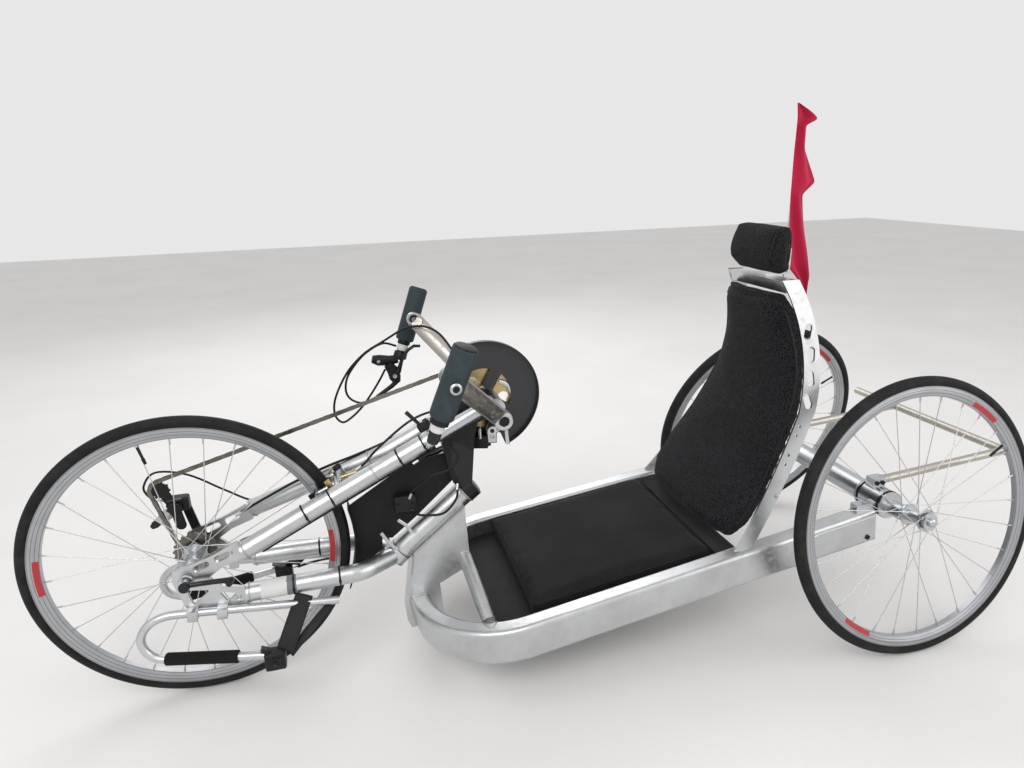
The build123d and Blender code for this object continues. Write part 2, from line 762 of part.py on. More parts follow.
# Front unit: steerer with the lower crown and the lower fork tubes, all one piece
crank_x = back(crank_back)
steerer = rod(on_head(-lower_crown_length), on_head(head_length + upper_crown_length), steerer_radius)
crown = rod(on_head(-crown_gap - lower_crown_length), on_head(-crown_gap), crown_radius)
crown_mid = on_head(-crown_gap - lower_crown_length / 2)
lower_path = [(back(lower_fork_low[0]), *lower_fork_low[1:]), (back(lower_fork_bend[0]), *lower_fork_bend[1:]),
              (crown_mid.X + lower_fork_crown_y, lower_fork_crown_y, crown_mid.Z)]
lower_tube = bent_tube(lower_path, fork_radius, crown_bend_radius)
head_room = ring_rod(on_head(-crown_gap), on_head(head_length), 4 * head_radius, head_bore)
lower_fork = crown + (lower_tube - head_room) + (other_side(lower_tube) - head_room) + steerer
save(largest(lower_fork), "lower_fork")

# Upper fork tubes, and the boom tubes that slide into them and carry the crank shell
upper_low = Vector(back(upper_fork_low[0]), *upper_fork_low[1:])
upper_bend = Vector(back(upper_fork_bend[0]), *upper_fork_bend[1:])
boom_end = Vector(crank_x, upper_bend.Y, crank_z + boom_lift)
boom_line = boom_end - upper_bend
upper_end = upper_bend + boom_line * ((back(upper_fork_end_back) - upper_bend.X) / boom_line.X)
upper_tube = bent_tube([upper_low, upper_bend, upper_end], fork_radius, fork_bend_radius)
save(both_sides(upper_tube), "upper_fork")
boom_tube = rod(upper_end + boom_line.normalized() * close_gap, boom_end, boom_radius)
boom = rod((crank_x, -shell_half_length, crank_z), (crank_x, shell_half_length, crank_z), shell_radius)
boom += boom_tube
boom += other_side(boom_tube)
boom = largest(boom - rod((crank_x, -grip_y, crank_z), (crank_x, grip_y, crank_z), spindle_radius + bearing_gap))
save(boom, "boom")

# Cable held along the underside of the left upper fork tube
cable_off = fork_radius + cable_radius + seat_gap


def under_tube(point, run):
    """Point moved down square to a run of the fork tube, to where the cable lies."""
    return point + run.cross(Vector(0, 1, 0)).normalized() * cable_off


first_run = (upper_bend - upper_low).normalized()
second_run = boom_line.normalized()
cable_points = [under_tube(upper_low + first_run * cable_start_in, first_run),
                under_tube(upper_bend, first_run + second_run), under_tube(upper_end, second_run)]
save(bent_tube(cable_points, cable_radius, fork_bend_radius + cable_off), "fork_cable")

# Mast with the upper crown
mast = side_plate(behind(mast_rows), -mast_half_width, mast_half_width) - boom
mast = largest(mast - rod(on_head(-head_length), on_head(head_length + crown_gap), 2 * head_radius))
mast += rod(on_head(head_length + crown_gap), on_head(head_length + upper_crown_length), crown_radius)
mast = largest(mast - rod(on_head(0), on_head(head_length + 2 * upper_crown_length), steerer_radius + close_gap))
save(mast, "mast")

# Dropouts, axle and release lever
hub = Vector(front_hub_x, 0, drawn_wheel_radius)


def over_hub(rows):
    """Turn rows of (ahead, over the hub) into (x, z) points."""
    return [(hub.X + ahead, hub.Z + over) for ahead, over in rows]


dropout_outer_y = dropout_y + dropout_thickness
dropout = side_plate(over_hub(dropout_rows), dropout_y, dropout_outer_y, dropout_corner)
for x, z in over_hub(dropout_slots):
    slot = Pos(x, z) * Rot(0, 0, dropout_slot_turn) * SlotOverall(dropout_slot_length, dropout_slot_width)
    dropout -= prism(slot, 0.0, 2 * dropout_outer_y)
for window in dropout_windows:
    dropout -= side_plate(over_hub(window), 0.0, 2 * dropout_outer_y, dropout_corner)
dropout -= rod((hub.X, 0, hub.Z), (hub.X, 2 * dropout_outer_y, hub.Z), front_axle_radius + bearing_gap)
save(both_sides(largest(dropout - upper_tube - lower_tube)), "dropouts")
axle_end = dropout_outer_y + axle_over
save(rod((hub.X, -axle_end, hub.Z), (hub.X, axle_end, hub.Z), front_axle_radius), "front_axle")
release_y = axle_end + release_radius + close_gap
release_points = [(hub.X + ahead, release_y + out, hub.Z + over) for ahead, out, over in release_rows]
save(bent_tube(release_points, release_radius, release_bend), "release_lever")

# Foot supports: a loop each side with clamps at the dropout, a sleeve, a heel block and straps
loop_points = [Vector(hub.X + ahead, y, z) for ahead, y, z in loop_rows]
loop = bent_tube(loop_points, loop_radius, loop_bend)
top_run = loop_points[1] - loop_points[0]
for ahead in loop_clamp_ahead:
    x = hub.X + ahead
    z = loop_points[0].Z + top_run.Z * (x - loop_points[0].X) / top_run.X
    loop += block((x - loop_clamp_half, x + loop_clamp_half), (dropout_outer_y + close_gap, loop_points[0].Y + loop_radius + seat_gap),
                  (z - loop_clamp_height / 2, z + loop_clamp_height / 2))
loop = largest(loop)
save(both_sides(loop), "foot_loops")
low_run = loop_points[4] - loop_points[3]
foot_sleeve = ring_rod(loop_points[3] + low_run * sleeve_from, loop_points[3] + low_run * sleeve_to, sleeve_radius,
                       loop_radius + close_gap)
heel = Pos(hub.X + heel_ahead, heel_y, heel_z) * Box(heel_length, heel_width, heel_length)
heel = largest(fillet(heel.edges(), heel_edge) - loop)
save(both_sides(foot_sleeve, heel), "foot_pads")


def strap(high_row, low_row, width):
    """Flat strap between two points, as wide as asked."""
    high = Vector(hub.X + high_row[0], high_row[1], high_row[2])
    low = Vector(hub.X + low_row[0], low_row[1], low_row[2])
    run = low - high
    plane = Plane(origin=high, x_dir=run, z_dir=run.cross(Vector(1, 0, 0)))
    return plane * (Pos(run.length / 2, 0, 0) * Box(run.length, width, strap_thickness))


straps = [largest(strap(*row) - loop - lower_tube - heel) for row in strap_rows]
save(both_sides(*straps), "heel_straps")

# Cranks: spindle, arms with their pedal pins, and the rings
spindle_reach = crank_root_y + spindle_over
save(rod((crank_x, -spindle_reach, crank_z), (crank_x, spindle_reach, crank_z), spindle_radius), "crank_spindle")
rest_turn = radians(crank_rest_angle)
pedal = Vector(crank_x + crank_length * cos(rest_turn), 0, crank_z + crank_length * sin(rest_turn))


def across(point, y_from, y_to, radius):
    """Round bar along Y at a point of the middle plane."""
    return rod((point.X, y_from, point.Z), (point.X, y_to, point.Z), radius)


crank_mid = Vector(crank_x, 0, crank_z)
arm_root = Vector(crank_x, crank_root_y, crank_z)
arm_run = Vector(pedal.X, crank_tip_y, pedal.Z) - arm_root
arm_section = Plane(origin=arm_root, x_dir=Vector(0, 1, 0).cross(arm_run).cross(arm_run), z_dir=arm_run)
arm = arm_section * extrude(RectangleRounded(crank_arm_thickness, crank_arm_width, crank_arm_edge),
                            amount=arm_run.length - crank_end_trim)
arm += across(crank_mid, crank_root_y - crank_root_boss_half, crank_root_y + crank_root_boss_half, crank_root_boss_radius)
arm += across(pedal, crank_tip_y - crank_tip_boss_in, crank_tip_y + crank_tip_boss_out, crank_tip_boss_radius)
arm -= across(crank_mid, 0, spindle_reach, spindle_radius + close_gap)
pin_end = grip_y + grip_pin_reach
arm += across(pedal, crank_tip_y, pin_end, pedal_pin_radius)
arm += across(pedal, pin_end, pin_end + pin_cap_length, pin_cap_radius)
save(both_sides(largest(arm)), "crank_arms")

big_ring_y = chain_y - big_ring_offset
spider_from = chain_y + ring_thickness / 2
spider_to = big_ring_y - ring_thickness / 2
rings = disc(crank_x, chain_y, crank_z, ring_radius, ring_bore_radius, ring_thickness)
rings += disc(crank_x, big_ring_y, crank_z, big_ring_radius, ring_bore_radius, ring_thickness)
rings += across(crank_mid, spider_to, spider_from, spider_radius)
for number in range(spider_holes):
    turn = 2 * radians(180.0) * number / spider_holes + rest_turn
    hole = Vector(crank_x + spider_hole_at * cos(turn), 0, crank_z + spider_hole_at * sin(turn))
    rings -= across(hole, 2 * big_ring_y, 0, spider_hole_radius)
rings += across(crank_mid, -crank_root_y + crank_root_boss_half + seat_gap, spider_from, carrier_radius)
rings -= across(crank_mid, -grip_y, grip_y, spindle_radius + close_gap)
save(largest(rings), "chainrings")

# Hand grips on the pedal pins, and the brake lever at the right one
grip_dir = Vector(0, 0, 1).rotate(Axis.Y, -grip_lean_back).rotate(Axis.X, -grip_lean_out)
grip_outline = [(0.0, grip_rows[0][1])] + grip_rows + [(0.0, grip_rows[-1][1])]
grip_solid = revolve(Plane.XZ * make_face(Polyline(*grip_outline, close=True)), axis=Axis.Z)
grip = Plane(origin=(pedal.X, grip_y, pedal.Z), z_dir=grip_dir) * grip_solid
grip = largest(grip - across(pedal, 0, 2 * grip_y, pedal_pin_radius + bearing_gap))
grip_right = other_side(grip)
save(grip, "grip_left")
save(grip_right, "grip_right")
lever_points = [Vector(back(distance), lever_y, z) for distance, z in lever_rows]
lever = bent_tube(lever_points, lever_radius, lever_bend)
clamp_at = Vector(back(lever_clamp_back), 0, lever_points[0].Z - lever_radius / 2)
lever += across(clamp_at, lever_y, -grip_y, lever_radius)
save(largest(lever - grip_right), "brake_lever")

# Chain: one closed loop about the ring, the upper pulley and the smallest sprocket
pulley_x = hub.X + pulley_ahead
chain_rounds = [(crank_x, crank_z, ring_radius), (pulley_x, pulley_z, pulley_radius), (hub.X, hub.Z, cassette_rows[-1][0])]


def chain_outline(extra):
    """Outline about the three rounds, enlarged by a margin."""
    circles = Sketch() + [Pos(x, z, 0) * Circle(r + extra) for x, z, r in chain_rounds]
    return make_hull(circles.edges())


chain_face = chain_outline(chain_height + seat_gap) - chain_outline(seat_gap)
save(prism(chain_face, chain_y - chain_half_width, chain_y + chain_half_width), "chain")

# Chain guard: plate and flange round the rear of the rings, carried by the shell's end
guard_mid = Vector(back(guard_back), 0, crank_z)
guard_near = -shell_half_length - close_gap
guard_far = guard_near - guard_thickness
guard = across(guard_mid, guard_far, guard_near, guard_radius)
guard += across(guard_mid, guard_far, guard_far + guard_flange_width, guard_radius)
guard -= across(guard_mid, guard_near, 0, guard_radius - guard_thickness)
guard -= across(guard_mid, 2 * guard_far, 0, guard_inner_radius)


def ray(angle, reach):
    """Point at a distance from the guard's middle, by its angle over the forward direction."""
    return (guard_mid.X + reach * cos(radians(angle)), guard_mid.Z + reach * sin(radians(angle)))


wedge_angles = (guard_start_angle, 0.0, guard_end_angle / 2, guard_end_angle)
guard -= side_plate([ray(0, 0)] + [ray(angle, 3 * guard_radius) for angle in wedge_angles], -grip_y, 0.0)
for angle in guard_tab_angles:
    tab_length = guard_inner_radius + guard_tab_width
    tab = Pos(*ray(0, 0)) * Rot(0, 0, angle) * Pos(guard_inner_radius / 2, 0) * Rectangle(tab_length, guard_tab_width)
    guard += prism(tab, guard_far, guard_near)
guard -= across(crank_mid, -grip_y, 0, spindle_radius + crown_gap)
save(largest(guard - boom), "chain_guard")

# Rear derailleur: hanger on the dropout, body, cage and pulleys
gear_outer_y = -dropout_outer_y - hanger_thickness
rear_gear = block((hub.X + gear_body_rear_ahead, hub.X + gear_body_front_ahead), (gear_outer_y, gear_outer_y + gear_body_depth),
                  (gear_body_low_z, gear_body_high_z))
rear_gear = fillet(rear_gear.edges(), hanger_thickness)
rear_gear += side_plate([(hub.X - hanger_radius, hub.Z + hanger_radius), (hub.X + hanger_radius, hub.Z + hanger_radius),
                         (hub.X + hanger_top_ahead + hanger_radius, gear_body_high_z - hanger_radius),
                         (hub.X + hanger_top_ahead - hanger_radius, gear_body_high_z - hanger_radius)],
                        gear_outer_y, -dropout_outer_y - close_gap)
cage_near = chain_y - chain_half_width - seat_gap
cage_far = cage_near - cage_thickness
upper_pulley = Vector(pulley_x, 0, pulley_z)
low_pulley = Vector(hub.X + low_pulley_ahead, 0, low_pulley_z)
cage_end = Vector(hub.X + cage_low_ahead, 0, cage_low_z)
half_pulley = pulley_thickness / 2
for point, radius in ((upper_pulley, pulley_radius), (low_pulley, low_pulley_radius)):
    rear_gear += across(point, chain_y - half_pulley, chain_y + half_pulley, radius)
    rear_gear += across(point, cage_far, chain_y, pulley_thickness)
for a, b in ((upper_pulley, low_pulley), (low_pulley, cage_end)):
    rear_gear += across(a, cage_far, cage_near, cage_radius)
    rear_gear += across(b, cage_far, cage_near, cage_radius)
    square = (b - a).cross(Vector(0, 1, 0)).normalized() * cage_radius
    rear_gear += side_plate([(p.X, p.Z) for p in (a + square, b + square, b - square, a - square)], cage_far, cage_near)
rear_gear += across(low_pulley, gear_outer_y + hanger_thickness, cage_far, cage_radius)

# Front derailleur: two cage plates with a bridge below, on an arm from the shell
cage_x = (back(front_cage_rear_back), back(front_cage_front_back))
cage_z = (front_cage_low_z, front_cage_high_z)
bridge_z = (front_cage_low_z, front_cage_low_z + 2 * front_cage_thickness)
front_gear = block(cage_x, (front_cage_inner_y - front_cage_thickness, front_cage_inner_y), cage_z)
front_gear += block(cage_x, (front_cage_outer_y - front_cage_thickness, front_cage_outer_y), cage_z)
front_gear += block(cage_x, (front_cage_outer_y, front_cage_inner_y), bridge_z)
front_gear += rod((crank_x, front_arm_y, crank_z - shell_radius / 2), (crank_x, front_arm_y, front_cage_low_z), front_arm_radius)
front_gear += block((crank_x - front_arm_radius, crank_x + front_arm_radius), (front_cage_inner_y, front_arm_y),
                    (front_cage_low_z, front_cage_low_z + 2 * front_arm_radius))
front_gear -= across(crank_mid, -grip_y, grip_y, shell_radius + close_gap)
save(Compound([largest(rear_gear), largest(front_gear)]), "derailleurs")

# Brake at the front wheel: bridge between the upper fork tubes, arms and pads
brake_turn = radians(brake_angle)
brake_out = Vector(-cos(brake_turn), 0, sin(brake_turn))
brake_along = Vector(sin(brake_turn), 0, cos(brake_turn))


def at_brake(distance, y, along=0.0):
    """Point by its distance from the front hub, its Y, and its place along the rim."""
    return hub + brake_out * distance + brake_along * along + Vector(0, y, 0)


bridge = rod(at_brake(brake_bridge_at, -upper_low.Y), at_brake(brake_bridge_at, upper_low.Y), brake_bridge_radius)
bridge = bridge - upper_tube - other_side(upper_tube)
arm_top = brake_bridge_at + brake_bridge_radius + brake_arm_radius / 2
pad_outer = rim_half_width + brake_pad_gap + brake_pad_thickness
brake_arm = bent_tube([at_brake(arm_top, 0), at_brake(arm_top, brake_arm_y), at_brake(brake_pad_at, brake_arm_y)],
                      brake_arm_radius, brake_arm_bend)
pad_place = Plane(origin=at_brake(brake_pad_at, pad_outer - brake_pad_thickness / 2), x_dir=brake_out, z_dir=brake_along)
brake_arm += pad_place * Box(brake_pad_height, brake_pad_thickness, brake_pad_length)
brake_arm += rod(at_brake(brake_pad_at, pad_outer), at_brake(brake_pad_at, brake_arm_y), brake_arm_radius)
half_body = brake_body_length / 2
brake = rod(at_brake(arm_top, 0, -half_body), at_brake(arm_top, 0, half_body), brake_body_radius)
brake += min(bridge.solids(), key=lambda solid: abs(solid.center().Y))
brake += brake_arm
brake = largest(brake + other_side(brake_arm))
save(brake, "brake_caliper")

# Splash guard behind the front wheel, and the cable box over the steering head
band = across(hub, -band_half_width, band_half_width, band_radius + band_thickness)
band_wedge = [(hub.X, hub.Z)]
for angle in (band_low_angle, 0.0, band_high_angle):
    band_wedge.append((hub.X - 2 * band_radius * cos(radians(angle)), hub.Z + 2 * band_radius * sin(radians(angle))))
splash = band & side_plate(band_wedge, -band_half_width, band_half_width)
for rows in (web_low_rows, web_high_rows):
    splash += side_plate(behind(rows), -web_half_thickness, web_half_thickness)
splash -= across(hub, -2 * band_half_width, 2 * band_half_width, band_radius)
splash -= rod(on_head(-2 * head_length), on_head(2 * head_length), web_clearance)
splash = largest(splash - mast - brake)
save(splash, "splash_guard")
box_from = web_half_thickness + close_gap
cable_box = block((back(box_rear_back), back(box_front_back)), (box_from, box_from + box_width), (box_low_z, box_high_z))
save(fillet(cable_box.edges(), box_edge), "cable_box")
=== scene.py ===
"""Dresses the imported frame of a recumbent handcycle: tyres, chain, cloth, cables, welds and finishes."""

import logging
import math
from collections.abc import Callable, Iterable, Sequence
from dataclasses import dataclass, field
from enum import Enum

import bmesh
import bpy
from mathutils import Matrix, Vector
from mathutils.bvhtree import BVHTree
from mathutils.geometry import convex_hull_2d


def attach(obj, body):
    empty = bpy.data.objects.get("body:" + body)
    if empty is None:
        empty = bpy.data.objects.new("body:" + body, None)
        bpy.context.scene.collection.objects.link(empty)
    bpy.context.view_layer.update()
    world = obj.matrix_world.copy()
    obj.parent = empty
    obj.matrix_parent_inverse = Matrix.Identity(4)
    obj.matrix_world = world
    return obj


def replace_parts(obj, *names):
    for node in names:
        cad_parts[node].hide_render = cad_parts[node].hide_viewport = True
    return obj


LOG = logging.getLogger("handcycle")
Colour = tuple[float, float, float]
Point = tuple[float, float, float]
Rows = tuple[tuple[float, float], ...]
BladeRows = tuple[tuple[Point, float, float], ...]
MERGE_WITHIN = 1e-6


class Body(Enum):
    """The bodies that pieces ride on."""

    FRAME = "frame"
    FRONT = "front_unit"
    FRONT_WHEEL = "front_wheel"
    REAR_LEFT = "rear_wheel_left"
    REAR_RIGHT = "rear_wheel_right"
    CRANK = "crank"
    GRIP_LEFT = "grip_left"
    GRIP_RIGHT = "grip_right"


class Side(Enum):
    """The two sides of the handcycle, as the sign of Y."""

    LEFT = 1
    RIGHT = -1


# Shader maths

class Value:
    """A number in a material: Python operators on it add Math nodes."""

    def __init__(self, graph: "Graph", socket: bpy.types.NodeSocket) -> None:
        """Wrap one output socket."""
        self.graph = graph
        self.socket = socket

    def _math(self, operation: str, *others: "Value | float") -> "Value":
        """Add a Math node.

        Args:
            operation: the node's operation.
            others: its further inputs.

        Returns:
            The node's result.
        """
        node = self.graph.node("ShaderNodeMath", {"operation": operation}, {0: self, **dict(enumerate(others, 1))})
        return Value(self.graph, node.outputs[0])

    def __add__(self, other: "Value | float") -> "Value":
        """Sum."""
        return self._math("ADD", other)

    def __radd__(self, other: float) -> "Value":
        """Sum with a plain number first."""
        return self._math("ADD", other)

    def __sub__(self, other: "Value | float") -> "Value":
        """Difference."""
        return self._math("SUBTRACT", other)

    def __rsub__(self, other: float) -> "Value":
        """A plain number less this value."""
        return self._math("MULTIPLY", -1.0)._math("ADD", other)

    def __mul__(self, other: "Value | float") -> "Value":
        """Product."""
        return self._math("MULTIPLY", other)

    def __rmul__(self, other: float) -> "Value":
        """Product with a plain number first."""
        return self._math("MULTIPLY", other)

    def __gt__(self, other: "Value | float") -> "Value":
        """One where this is the greater, else zero."""
        return self._math("GREATER_THAN", other)

    def __lt__(self, other: "Value | float") -> "Value":
        """One where this is the smaller, else zero."""
        return self._math("LESS_THAN", other)

    def wave(self) -> "Value":
        """Sine of the value."""
        return self._math("SINE")

    def size(self) -> "Value":
        """Absolute value."""
        return self._math("ABSOLUTE")

    def part(self) -> "Value":
        """What is left over above the whole number."""
        return self._math("FRACT")

    def angle_over(self, other: "Value") -> "Value":
        """Angle of the point (other, self)."""
        return self._math("ARCTAN2", other)

    def length_with(self, other: "Value") -> "Value":
        """Length of the pair (self, other)."""
        return (self * self + other * other)._math("SQRT")


class Graph:
    """The nodes of one material."""

    def __init__(self, name: str) -> None:
        """Make an empty material with a principled shader.

        Args:
            name: the material's name.
        """
        self.material = bpy.data.materials.new(name)
        self.material.use_nodes = True
        self.nodes = self.material.node_tree.nodes
        self.links = self.material.node_tree.links
        self.shader = next(node for node in self.nodes if node.type == "BSDF_PRINCIPLED")

    def node(self, kind: str, settings: dict | None = None, sockets: dict | None = None) -> bpy.types.Node:
        """Add one node.

        Args:
            kind: the node's type name.
            settings: properties set before its sockets.
            sockets: values or links of its inputs, by name or number.

        Returns:
            The node.
        """
        node = self.nodes.new(kind)
        for key, value in (settings or {}).items():
            setattr(node, key, value)
        for key, value in (sockets or {}).items():
            self.put(node.inputs[key], value)
        return node

    def put(self, socket: bpy.types.NodeSocket, value: object) -> None:
        """Link a value to a socket, or write a plain one on it.

        Args:
            socket: the input to fill.
            value: a value or socket to link, or a plain number, colour or vector.
        """
        if isinstance(value, Value):
            self.links.new(value.socket, socket)
        elif isinstance(value, bpy.types.NodeSocket):
            self.links.new(value, socket)
        elif isinstance(value, tuple) and len(value) == 3 and socket.type == "RGBA":
            socket.default_value = (*value, 1.0)
        else:
            socket.default_value = value

    def place(self, scale: Point = (1.0, 1.0, 1.0), location: Point = (0.0, 0.0, 0.0),
              rotation: Point = (0.0, 0.0, 0.0)) -> bpy.types.NodeSocket:
        """Object coordinates through a Mapping node.

        Args:
            scale: factor on each axis.
            location: shift after the turn.
            rotation: turn in radians.

        Returns:
            The mapped vector.
        """
        where = self.node("ShaderNodeTexCoord").outputs["Object"]
        mapped = self.node("ShaderNodeMapping", {},
                           {"Vector": where, "Location": location, "Rotation": rotation, "Scale": scale})
        return mapped.outputs[0]

    def axes(self, vector: bpy.types.NodeSocket) -> tuple[Value, Value, Value]:
        """The three numbers of a vector."""
        split = self.node("ShaderNodeSeparateXYZ", {}, {0: vector})
        return tuple(Value(self, split.outputs[number]) for number in range(3))

    def noise(self, vector: bpy.types.NodeSocket, scale: float, detail: float = 3.0, rough: float = 0.55) -> Value:
        """Fractal noise between 0 and 1.

        Args:
            vector: where the pattern is read.
            scale: its fineness.
            detail: its octaves.
            rough: share of each finer octave.

        Returns:
            The noise.
        """
        node = self.node("ShaderNodeTexNoise", {},
                         {"Vector": vector, "Scale": scale, "Detail": detail, "Roughness": rough})
        return Value(self, node.outputs["Fac"])

    def cells(self, vector: bpy.types.NodeSocket, scale: float, feature: str = "F1") -> Value:
        """Distance in a cell pattern."""
        node = self.node("ShaderNodeTexVoronoi", {"feature": feature}, {"Vector": vector, "Scale": scale})
        return Value(self, node.outputs["Distance"])

    def ramp(self, value: Value, low: float, high: float, start: float = 0.0, end: float = 1.0) -> Value:
        """Map a value from one range to another, held at the ends.

        Args:
            value: what is mapped.
            low: value that gives start.
            high: value that gives end.
            start: result at low.
            end: result at high.

        Returns:
            The mapped value.
        """
        node = self.node("ShaderNodeMapRange", {"clamp": True},
                         {"Value": value, "From Min": low, "From Max": high, "To Min": start, "To Max": end})
        return Value(self, node.outputs[0])

    def mix(self, factor: Value, first: object, second: object) -> bpy.types.NodeSocket:
        """Mix two colours."""
        node = self.node("ShaderNodeMix", {"data_type": "RGBA"}, {0: factor, 6: first, 7: second})
        return node.outputs[2]

    def bump(self, height: Value, distance: float, strength: float = 1.0) -> bpy.types.NodeSocket:
        """Normal from a height."""
        node = self.node("ShaderNodeBump", {}, {"Height": height, "Distance": distance, "Strength": strength})
        return node.outputs[0]

    def finish(self, **sockets: object) -> bpy.types.Material:
        """Write the shader's sockets.

        Args:
            sockets: their values, under their names with underscores for spaces.

        Returns:
            The finished material.
        """
        for key, value in sockets.items():
            self.put(self.shader.inputs[key.replace("_", " ").title().replace("Ior", "IOR")], value)
        return self.material


# Finishes

@dataclass(frozen=True)
class Finish:
    """One surface finish: its material is made once and shared."""

    name: str

    def build(self) -> bpy.types.Material:
        """Make the material's nodes."""
        raise NotImplementedError

    def material(self) -> bpy.types.Material:
        """The finish's material, made at its first use."""
        return bpy.data.materials.get(self.name) or self.build()


@dataclass(frozen=True)
class Metal(Finish):
    """Brushed or polished metal with streaks, smudges and dull spots."""

    colour: Colour = (0.6, 0.61, 0.62)
    rough: float = 0.32
    spread: float = 0.16
    streaks: Point = (6.0, 90.0, 90.0)
    depth: float = 0.00006
    grime: Colour = (0.34, 0.33, 0.31)
    grime_share: float = 0.35

    def build(self) -> bpy.types.Material:
        """Streaks in the bump and roughness, and grime in the colour.

        Returns:
            The material.
        """
        graph = Graph(self.name)
        streak = graph.noise(graph.place(self.streaks), 9.0, 4.0)
        smudge = graph.noise(graph.place(), 14.0, 5.0, 0.65)
        spots = graph.noise(graph.place(), 90.0, 2.0)
        dull = graph.ramp(smudge, 0.42, 0.72, 0.0, self.grime_share)
        rough = self.rough + self.spread * (streak - 0.5) + self.spread * graph.ramp(spots, 0.5, 0.75)
        return graph.finish(base_color=graph.mix(dull, self.colour, self.grime), metallic=1.0, roughness=rough,
                            normal=graph.bump(streak + 0.4 * spots, self.depth))


@dataclass(frozen=True)
class RimMetal(Finish):
    """Machined rim with coloured marks at set angles, about one wheel's own axis."""

    centre: Point = (0.0, 0.0, 0.0)
    camber: float = 0.0
    colour: Colour = (0.42, 0.43, 0.45)
    mark: Colour = (0.42, 0.02, 0.03)
    mark_turns: tuple[float, ...] = ()
    mark_half: float = 0.07
    mark_band: tuple[float, float] = (0.264, 0.274)
    line_turns: float = 960.0

    def build(self) -> bpy.types.Material:
        """Rings from the machining, and the marks where the angle and radius ask.

        Returns:
            The material.
        """
        graph = Graph(self.name)
        turned = Matrix.Rotation(-self.camber, 3, "X") @ Vector(self.centre)
        across, _, up = graph.axes(graph.place(location=tuple(-turned), rotation=(-self.camber, 0.0, 0.0)))
        radius = across.length_with(up)
        angle = up.angle_over(across)
        ring = (radius * 9000.0).wave()
        line = ((radius * self.line_turns).wave() > 0.9) * 0.75
        smudge = graph.noise(graph.place(), 22.0, 4.0)
        mask: Value | None = None
        for turn in self.mark_turns:
            off = ((angle * 1.0 - turn) * 0.5).wave().size()
            one = off < self.mark_half
            mask = one if mask is None else mask + one
        colour: object = graph.mix(graph.ramp(smudge, 0.45, 0.75, 0.0, 0.35), self.colour, (0.3, 0.29, 0.28))
        colour = graph.mix(line, colour, (0.07, 0.07, 0.075))
        metallic: object = 1.0
        if mask is not None:
            low, high = self.mark_band
            mask = mask * (radius > low) * (radius < high)
            colour = graph.mix(mask, colour, self.mark)
            metallic = 1.0 - mask
        return graph.finish(base_color=colour, metallic=metallic, roughness=0.24 + 0.14 * smudge,
                            normal=graph.bump(ring, 0.00002))


@dataclass(frozen=True)
class Plastic(Finish):
    """Moulded plastic or painted parts with a fine grain and handling marks."""

    colour: Colour = (0.007, 0.007, 0.008)
    worn: Colour = (0.026, 0.026, 0.026)
    rough: float = 0.42
    grain: float = 900.0
    depth: float = 0.00005
    coat: float = 0.0

    def build(self) -> bpy.types.Material:
        """Grain in the bump, wear in the colour and roughness.

        Returns:
            The material.
        """
        graph = Graph(self.name)
        grain = graph.noise(graph.place(), self.grain, 2.0)
        wear = graph.noise(graph.place(), 35.0, 5.0, 0.7)
        shade = graph.ramp(wear, 0.5, 0.8, 0.0, 0.6)
        return graph.finish(base_color=graph.mix(shade, self.colour, self.worn),
                            roughness=self.rough + 0.25 * wear - 0.1, specular_ior_level=0.28, coat_weight=self.coat,
                            coat_roughness=0.15, normal=graph.bump(grain, self.depth))


@dataclass(frozen=True)
class TyreRubber(Finish):
    """Road tyre: grooves beside the crown, ribs on the sidewalls and dust between them."""

    colour: Colour = (0.006, 0.006, 0.007)
    dust: Colour = (0.055, 0.052, 0.047)

    def build(self) -> bpy.types.Material:
        """The pattern runs on the tyre's own map: U round the wheel, V across the section.

        Returns:
            The material.
        """
        graph = Graph(self.name)
        around, across, _ = graph.axes(graph.node("ShaderNodeUVMap", {"uv_map": "tread"}).outputs[0])
        slant = (around * 150.0 + across.size() * 3.0).part()
        groove = (slant < 0.22) * (across.size() > 0.28) * (across.size() < 0.62)
        centre = (across.size() < 0.035) * 0.6
        ribs = ((across * 70.0).wave() > 0.4) * (across.size() > 0.9) * 0.4
        grain = graph.noise(graph.place(), 700.0, 2.0)
        dust = graph.noise(graph.place(), 30.0, 5.0, 0.7)
        shade = graph.ramp(dust, 0.45, 0.8, 0.02, 0.45) + 0.12 * groove
        height = 0.25 * grain - groove - centre + ribs
        return graph.finish(base_color=graph.mix(shade, self.colour, self.dust), roughness=0.55 + 0.3 * dust,
                            specular_ior_level=0.25, normal=graph.bump(height, 0.0006))


@dataclass(frozen=True)
class MeshCloth(Finish):
    """Open spacer cloth: small holes, painted dark with the shade inside them, between lighter threads, in rows."""

    thread: Colour = (0.014, 0.014, 0.016)
    # painted shade: the near-black colour seen inside the open holes
    hole: Colour = (0.0015, 0.0015, 0.002)
    pitch: float = 0.0046

    def build(self) -> bpy.types.Material:
        """Cells give the holes, painted dark with the shade inside them, and a fine noise the threads.

        Returns:
            The material.
        """
        graph = Graph(self.name)
        where = graph.place((1.0, 1.0, 0.8))
        edge = graph.cells(where, 1.0 / self.pitch, "DISTANCE_TO_EDGE")
        holes = graph.ramp(edge, 0.08, 0.2)
        fuzz = graph.noise(graph.place(), 1500.0, 2.0)
        patch = graph.noise(graph.place(), 9.0, 4.0)
        thread = graph.mix(graph.ramp(patch, 0.35, 0.7), self.thread, tuple(1.7 * part for part in self.thread))
        height = 1.0 - holes + 0.3 * fuzz
        # the holes take the painted shade colour
        return graph.finish(base_color=graph.mix(holes, thread, self.hole), roughness=0.8 + 0.15 * fuzz,
                            specular_ior_level=0.15, sheen_weight=0.04, sheen_roughness=0.45,
                            normal=graph.bump(height, 0.0009))


